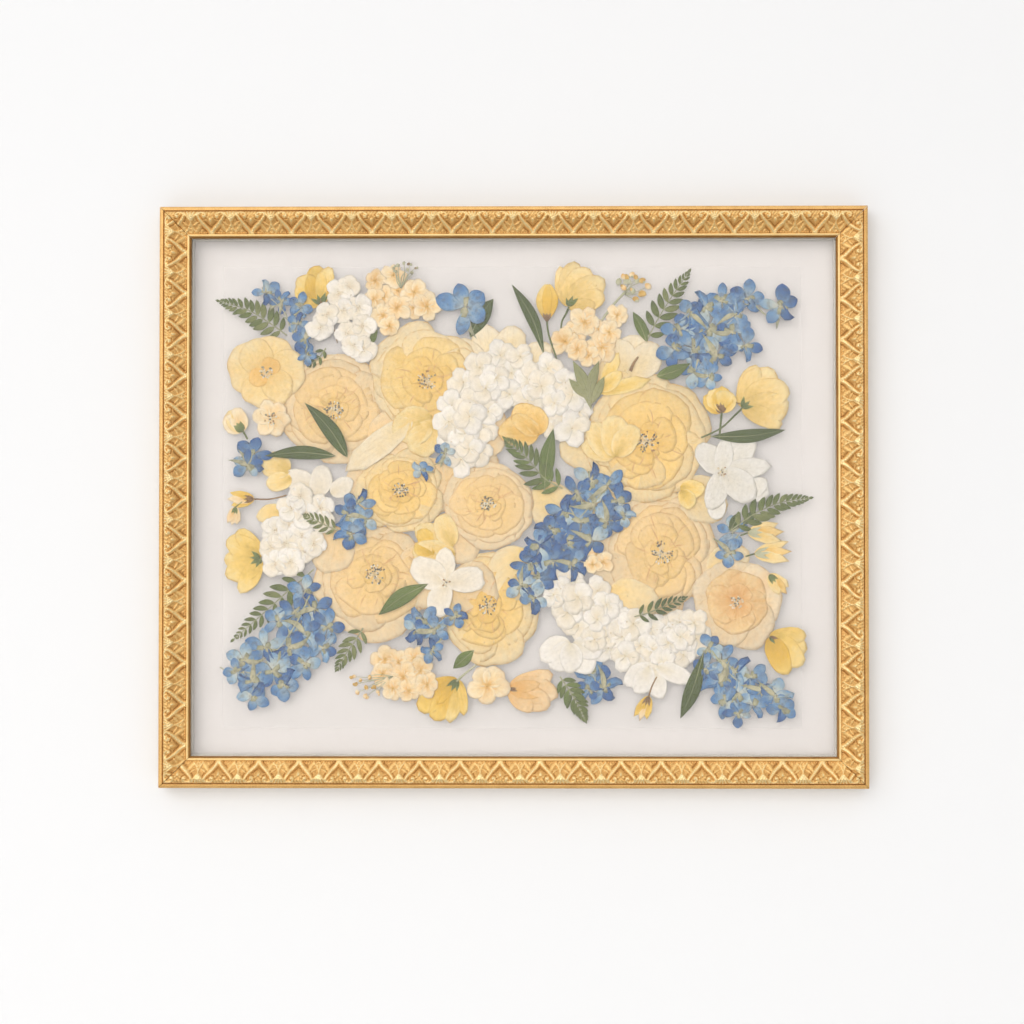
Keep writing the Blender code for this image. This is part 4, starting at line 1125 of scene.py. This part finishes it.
side_bloom(flower, (196.0, -107.5), yellow,
           ((88, 28, 14, 0, 0.12), (108, 31, 19, 0, 0.08), (130, 32, 21, 0, 0.04),
            (153, 31, 18, 1, 0.0)), ((100, 7, brown), (140, 7, green)))
flower.settle("petal_yellow", None, 0.06)
bud("bud_yellow_right_a", 2.45, 108, (180, -28), (207, -27), 12, butter, stalk_pale,
    (stalk_green, ((180, -28), (174, -30)), 1.3))
bud("bud_yellow_right_b", 2.45, 109, (185, -44), (214, -42), 12, butter, stalk_pale,
    (stalk_green, ((185, -44), (178, -46)), 1.3))
bud("bud_yellow_right_c", 2.45, 110, (196, -60), (209, -74), 11, butter, green)

# Dry umbels of tiny buds, and long stalks.
for name, y, seed, root, tips, size, finishes, stalk in (
        ("umbel_upper_right", 2.45, 111, (86, 155),
         ((82, 165), (86, 169), (90, 171), (94, 167), (100, 165), (103, 161), (98, 156),
          (95, 152), (88, 164), (84, 161), (92, 159)), 4.6,
         (stock_heart, stock[0], stalk_pale), stalk_pale),
        ("umbel_upper_left", 1.75, 112, (-86, 160),
         ((-92, 176), (-88, 178), (-84, 180), (-79, 178), (-75, 176), (-90, 172), (-82, 173),
          (-77, 171)), 2.6, (stalk_pale, throat, stalk_brown), stalk_pale),
        ("umbel_lower_left", 2.45, 113, (-92, -138),
         ((-110, -138), (-116, -141), (-121, -144), (-113, -147), (-107, -146), (-119, -150),
          (-123, -138), (-104, -151), (-112, -153)), 3.2,
         (stock_heart, stock[0], stock[1]), stalk_pale)):
    flower = Pressed(name, y, seed)
    rnd = flower.random
    for x, z in tips:
        knee = ((root[0] + x) / 2 + rnd.uniform(-2, 2), (root[1] + z) / 2 + rnd.uniform(-2, 2))
        flower.stem([root, knee, (x, z)], 0.8, stalk, taper=0.4, depth=0.1)
        for k in range(2):
            turn = rnd.uniform(0, 6.28)
            flower.dot(x + rnd.uniform(-1.4, 1.4), z + rnd.uniform(-1.4, 1.4),
                       size * rnd.uniform(0.6, 1.1), rnd.choice(finishes), long=1.35, turn=turn,
                       depth=-0.05 * k)
    flower.settle("petal_cream")
flower = Pressed("stalk_upper_right", 3.15, 114)
flower.stem([(88, 159), (76, 146), (64, 129), (53, 108)], 1.9, stalk_pale, taper=0.3)
flower.settle("leaf_green")


# ---- Ferns and leaves --------------------------------------------------------------------------
# Dried fronds and blades, greyer where they have lost their colour.
fern = (petal_finish("fern_green", (106, 118, 50), (94, 108, 34), (80, 94, 24),
                     (62, 76, 16), streak=0.2, blotch=0.3),
        petal_finish("fern_grey", (128, 136, 78), (116, 124, 60), (100, 110, 44),
                     (80, 88, 32), streak=0.2, blotch=0.35))
leaf_green = (petal_finish("leaf_green_dark", (78, 94, 26), (72, 88, 20), (66, 82, 16),
                           (94, 110, 42), streak=0.26, blotch=0.25),
              petal_finish("leaf_green_mid", (112, 128, 52), (98, 116, 38), (86, 104, 28),
                           (76, 94, 24), streak=0.26, blotch=0.3),
              petal_finish("leaf_sage", (162, 162, 114), (150, 152, 102), (142, 146, 92),
                           (126, 128, 78), streak=0.26, blotch=0.3))
rachis = petal_finish("fern_rachis", (176, 176, 138), (162, 164, 122), (140, 146, 100),
                      (130, 132, 92), streak=0.2)


def frond(name, y, seed, spine, pairs, longest, blade_width, finishes, node=None, lean=58,
          start=0.12, tooth=0.0):
    """Leaflets in pairs up a stalk, longest a third of the way up and closing to a tip."""
    flower = Pressed(name, y, seed)
    rnd = flower.random
    flower.stem(spine, 1.1, rachis, depth=0.02, taper=0.6)
    for k in range(pairs):
        t = start + (0.94 - start) * (1 - (1 - k / (pairs - 1)) ** 1.45)
        spot, side = along_path(spine, t)
        way = Vector((side[1], -side[0]))
        size = longest * (1 - 0.86 * max(0.0, (k / (pairs - 1) - 0.15) / 0.85) ** 1.1)
        size *= 0.8 + 0.2 * min(1.0, k / 2)
        for which in (-1, 1):
            a = math.radians(lean * (1 - 0.55 * t) + rnd.uniform(-5, 5))
            aim = way * math.cos(a) + side * which * math.sin(a)
            base = spot + side * which * 0.3
            tip = base + aim * size * rnd.uniform(0.92, 1.06)
            pick = finishes[1] if rnd.random() < 0.45 - 0.35 * t else finishes[0]
            flower.leaf(base, tip, max(blade_width * size / longest, 1.2), pick, full=0.9,
                        blunt=0.7, depth=-0.08, bow=-0.04 * which, cells=(4, 9),
                        tooth=tooth)
    end, side = along_path(spine, 1.0)
    way = Vector((side[1], -side[0]))
    flower.leaf(end - way * 0.22 * longest, end + way * 0.1 * longest, 0.4 * blade_width,
                finishes[0], depth=-0.1)
    flower.settle("leaf_green", node, 0.06)


frond("fern_upper_left_frond", 3.85, 121, ((-174, 124), (-188, 134), (-205, 144), (-228, 151)),
      14, 13.5, 5.2, fern, "fern_upper_left", 70, 0.1)
frond("fern_upper_right_frond", 3.85, 122, ((102, 118), (110, 134), (121, 152), (136, 174)),
      11, 15, 5.6, fern, "fern_upper_right", 58, 0.1)
frond("fern_middle_frond", 1.05, 123, ((38, 6), (24, 14), (10, 30), (-7, 45)),
      13, 18, 5.0, (fern[0], leaf_green[1]), "fern_middle", 58, 0.06, 0.06)
frond("fern_lower_left_frond", 3.15, 124, ((-153, -56), (-172, -72), (-192, -90), (-216, -111)),
      13, 15, 5.2, fern, "fern_lower_left", 62, 0.1, 0.12)
frond("fern_bottom", 2.45, 125, ((36, -138), (44, -150), (50, -160), (56, -173)), 12, 13, 4.4,
      (fern[0], leaf_green[1]), None, 56, 0.08)
frond("fern_right", 2.45, 126, ((167, -26), (184, -14), (204, -5), (229, -1)), 13, 14, 5.4,
      fern, None, 56, 0.1)
frond("fern_lower_middle", 1.05, 127, ((93, -92), (104, -89), (118, -83), (133, -77)), 9, 11,
      3.6, (leaf_green[0], fern[0]), None, 52, 0.1)
frond("fern_left_small", 1.05, 128, ((-134, -26), (-142, -23), (-150, -19), (-161, -14)), 8, 10,
      3.2, (fern[1], fern[1]), None, 55, 0.1)
frond("fern_lower_left_small", 3.15, 129, ((-115, -101), (-122, -112), (-129, -122),
                                           (-136, -134)), 9, 13, 4.0, (fern[0], fern[1]), None,
      52, 0.08, 0.1)
frond("fern_upper_left_small", 3.15, 130, ((-144, 114), (-150, 106), (-158, 100)), 5, 8, 3.2,
      (leaf_green[0], fern[0]), None, 50)

# name, layer, finish, blades: base, tip, width, bow, fullness
for name, y, finish, blades, node in (
        ("leaf_pair_left_blades", 1.05, leaf_green[0],
         (((-127, 30), (-160, 72), 12.5, 0.05, 0.8), ((-136, 31), (-191, 31), 10.5, 0.05, 0.85)),
         "leaf_pair_left"),
        ("leaf_behind_larkspur", 3.85, leaf_green[0],
         (((-33, 122), (-15, 152), 15, -0.06, 1.0),), None),
        ("leaf_dark_top", 3.15, leaf_green[0], (((24, 108), (-1, 163), 9.5, 0.06, 1.1),), None),
        ("leaf_pointed_middle", 1.05, leaf_green[1], (((24, 4), (31, 52), 12, -0.03, 1.0),),
         None),
        ("leaf_sage_upper", 1.05, leaf_green[2],
         (((60, 66), (46, 104), 10, 0.05, 1.1), ((58, 72), (66, 104), 8, -0.05, 1.1),
          ((60, 70), (70, 92), 7, 0.0, 1.1), ((58, 74), (43, 90), 7, 0.0, 1.1)), None),
        ("leaf_upper_right", 1.05, leaf_green[1], (((110, 92), (136, 102), 10.5, 0.05, 0.8),),
         None),
        ("leaf_simple_upper", 3.15, leaf_green[1], (((103, 118), (92, 142), 8.5, 0.03, 1.0),),
         None),
        ("leaf_right", 1.75, leaf_green[0], (((151, 46), (209, 51), 10.5, 0.04, 1.0),), None),
        ("leaf_over_rose", 1.05, leaf_green[1], (((-65, -67), (-103, -91), 12.5, 0.05, 1.0),),
         None),
        ("leaf_lower_right", 1.75, leaf_green[0], (((146, -118), (128, -170), 12, -0.03, 1.2),),
         None),
        ("leaves_fern_right", 2.45, leaf_green[0],
         (((166, -27), (174, -12), 8, 0.0, 1.0), ((176, -22), (186, -11), 7, 0.0, 1.0)), None),
        ("leaves_behind_roses", 3.85, leaf_green[1],
         (((-104, 128), (-118, 118), 12, 0.0, 1.0), ((-30, -118), (-46, -132), 10, 0.0, 1.0),
          ((12, -60), (26, -74), 10, 0.0, 1.0), ((-70, -150), (-50, -140), 9, 0.1, 1.0)), None)):
    flower = Pressed(name, y, len(name) * 5)
    for base, tip, width, bow, full in blades:
        flower.leaf(base, tip, width, finish, bow=bow, full=full, cells=(6, 18), ridge=0.09)
        middle = ((base[0] + tip[0]) / 2 + (tip[1] - base[1]) * bow,
                  (base[1] + tip[1]) / 2 - (tip[0] - base[0]) * bow)
        flower.stem((base, middle, tip), 0.55, rachis, depth=-0.06, taper=0.7, cells=(2, 6))
    flower.settle("leaf_green", node, 0.06)


# ---- Panes, film, spacers and fixings ----------------------------------------------------------
# Two sheets of picture glass with ground edges, a thin clear film that carries the flowers,
# sawn acrylic spacers, zinc glazing points, a sawtooth hanger with two nails, rubber pads.
FACE_LOSS = 0.965              # light let through by a pane's two faces


def clear_finish(name, tint, clearness, roughness, ior):
    """Clear glass or plastic: bent light for the eye, a plain tinted way through for shadows."""
    finish = Finish(name, Roughness=roughness, IOR=ior)
    finish.coat(Base_Color=(*tint, 1), Transmission_Weight=clearness)
    through = finish.add("BsdfTransparent", {"Color": (*[c * FACE_LOSS for c in tint], 1)})
    return finish.show(finish.add("LightPath", {}, "Is Shadow Ray"), through)


def plain_finish(name, colour, roughness, metallic, scale, depth, spread):
    """Dull metal or rubber: fine scratches and spots in colour, gloss and height."""
    finish = Finish(name, Metallic=metallic)
    spots = finish.noise(finish.place(), scale, 6)
    tone = finish.ramp(spots, (0.3, [c * (1 - spread) for c in colour]), (0.7, colour))
    return finish.coat(Base_Color=tone, Normal=finish.bump(spots, depth, 0.6),
                       Roughness=finish.spread(spots, 0, 1, min=roughness - 0.12,
                                               max=roughness + 0.12))


glass = clear_finish("picture_glass", (0.905, 0.885, 0.868), 1.0, 0.0, 1.4)
back_glass = clear_finish("picture_glass_back", (0.992, 0.983, 0.975), 1.0, 0.0, 1.4)
zinc = plain_finish("zinc_plate", (0.66, 0.66, 0.64), 0.42, 1.0, 900, 0.00004, 0.3)
rubber = plain_finish("clear_rubber", (0.80, 0.80, 0.77), 0.6, 0.0, 500, 0.00003, 0.08)
acrylic = clear_finish("spacer_acrylic", (0.88, 0.86, 0.79), 0.3, 0.45, 1.49)


def dress(node, material):
    """Gives a kept CAD node its finish."""
    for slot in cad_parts[node].material_slots:
        slot.material = material


dress("pane_front", glass)
dress("pane_back", back_glass)
for side in ("top", "bottom", "left", "right"):
    dress("spacer_" + side, acrylic)
for number in range(1, 9):
    dress(f"glazing_point_{number}", zinc)
for node in ("sawtooth_hanger", "hanger_nail_left", "hanger_nail_right"):
    dress(node, zinc)
for side in ("left", "right"):
    dress(f"wall_pad_lower_{side}", rubber)
    dress(f"wall_pad_upper_{side}", rubber)

film = Finish("carrier_film", Roughness=0.35, Alpha=0.05).coat(Base_Color=(0.84, 0.835, 0.82, 1))
dress("carrier_film", film)


# ---- Wall, floor, light and camera -------------------------------------------------------------
# A plain white wall just behind the pads and a plain pale floor. Large soft key from the
# upper left, an even white room, and a long lens a little right of and below the middle.
WALL_GAP = 0.0003
WALL_Y = cad_box[1].y + WALL_GAP


def stage_finish(name, colour, one_sided):
    """Matt paint; one-sided paint is seen from the front only."""
    finish = Finish(name, Roughness=0.9)
    finish.coat(Base_Color=(*colour, 1), Specular_IOR_Level=0.1)
    if one_sided:
        finish.show(finish.add("NewGeometry", {}, "Backfacing"), finish.add("BsdfTransparent", {}))
    return finish.material


def stage_plane(name, half_x, half_y, turn, move, material):
    """A plain sheet of the room, tipped back by turn."""
    bm = bmesh.new()
    bmesh.ops.create_grid(bm, x_segments=1, y_segments=1, size=1)
    bmesh.ops.scale(bm, vec=(half_x, half_y, 1), verts=bm.verts)
    bmesh.ops.rotate(bm, cent=(0, 0, 0), matrix=Matrix.Rotation(turn, 3, "X"), verts=bm.verts)
    bmesh.ops.translate(bm, vec=move, verts=bm.verts)
    mesh = bpy.data.meshes.new(name)
    bm.to_mesh(mesh)
    bm.free()
    mesh.materials.append(material)
    plane = bpy.data.objects.new(name, mesh)
    bpy.context.scene.collection.objects.link(plane)
    return plane


wall = stage_plane("wall", 3.0, 2.4, math.radians(90), (0, WALL_Y, 0.9),
                   stage_finish("wall_paint", (0.93, 0.927, 0.93), True))
wall.visible_shadow = False
floor = stage_plane("floor", 4.0, 4.0, 0, (0, 0, -1.5),
                    stage_finish("floor_paint", (0.86, 0.85, 0.83), False))
floor.visible_glossy = False

world = bpy.data.worlds.new("room")
bpy.context.scene.world = world
world.use_nodes = True
background = world.node_tree.nodes["Background"]
direction = world.node_tree.nodes.new("ShaderNodeTexCoord")
height = world.node_tree.nodes.new("ShaderNodeSeparateXYZ")
room = world.node_tree.nodes.new("ShaderNodeValToRGB")
level = world.node_tree.nodes.new("ShaderNodeMapRange")
level.inputs["From Min"].default_value = -1
world.node_tree.links.new(direction.outputs["Generated"], height.inputs[0])
world.node_tree.links.new(height.outputs["Z"], level.inputs["Value"])
world.node_tree.links.new(level.outputs[0], room.inputs["Fac"])
world.node_tree.links.new(room.outputs["Color"], background.inputs["Color"])
room.color_ramp.elements[0].position = 0.30
room.color_ramp.elements[0].color = (0.16, 0.15, 0.14, 1)
room.color_ramp.elements[1].position = 0.80
room.color_ramp.elements[1].color = (0.78, 0.78, 0.78, 1)
middle = room.color_ramp.elements.new(0.5)
middle.color = (0.52, 0.52, 0.52, 1)
background.inputs["Strength"].default_value = 0.93


def area_light(name, place, aim, width, height, power, colour):
    """A soft rectangular light at a place, pointed at aim."""
    lamp = bpy.data.lights.new(name, "AREA")
    lamp.shape = "RECTANGLE"
    lamp.size, lamp.size_y = width, height
    lamp.energy = power
    lamp.color = colour
    light = bpy.data.objects.new(name, lamp)
    light.location = place
    light.rotation_euler = (Vector(aim) - Vector(place)).to_track_quat("-Z", "Y").to_euler()
    bpy.context.scene.collection.objects.link(light)
    return light


area_light("window_key", (-2.6, -4.0, 1.5), (0, 0, 0), 3.6, 3.6, 44, (1.0, 0.997, 0.99))
area_light("room_front", (-0.6, -4.9, 0.7), (0, 0, 0), 4.0, 4.0, 80, (1.0, 1.0, 1.0))

camera = bpy.data.cameras.new("camera")
camera.lens = 70
camera.sensor_width = 36
camera_object = bpy.data.objects.new("camera", camera)
bpy.context.scene.collection.objects.link(camera_object)
AIM = Vector((-0.8, cad_box[0].y / MM, -11.9)) * MM
camera_object.location = AIM + Vector((17.1, -1530, -24.0)) * MM
camera_object.rotation_euler = (AIM - camera_object.location).to_track_quat("-Z", "Y").to_euler()
bpy.context.scene.camera = camera_object
bpy.context.scene.view_settings.view_transform = "Standard"
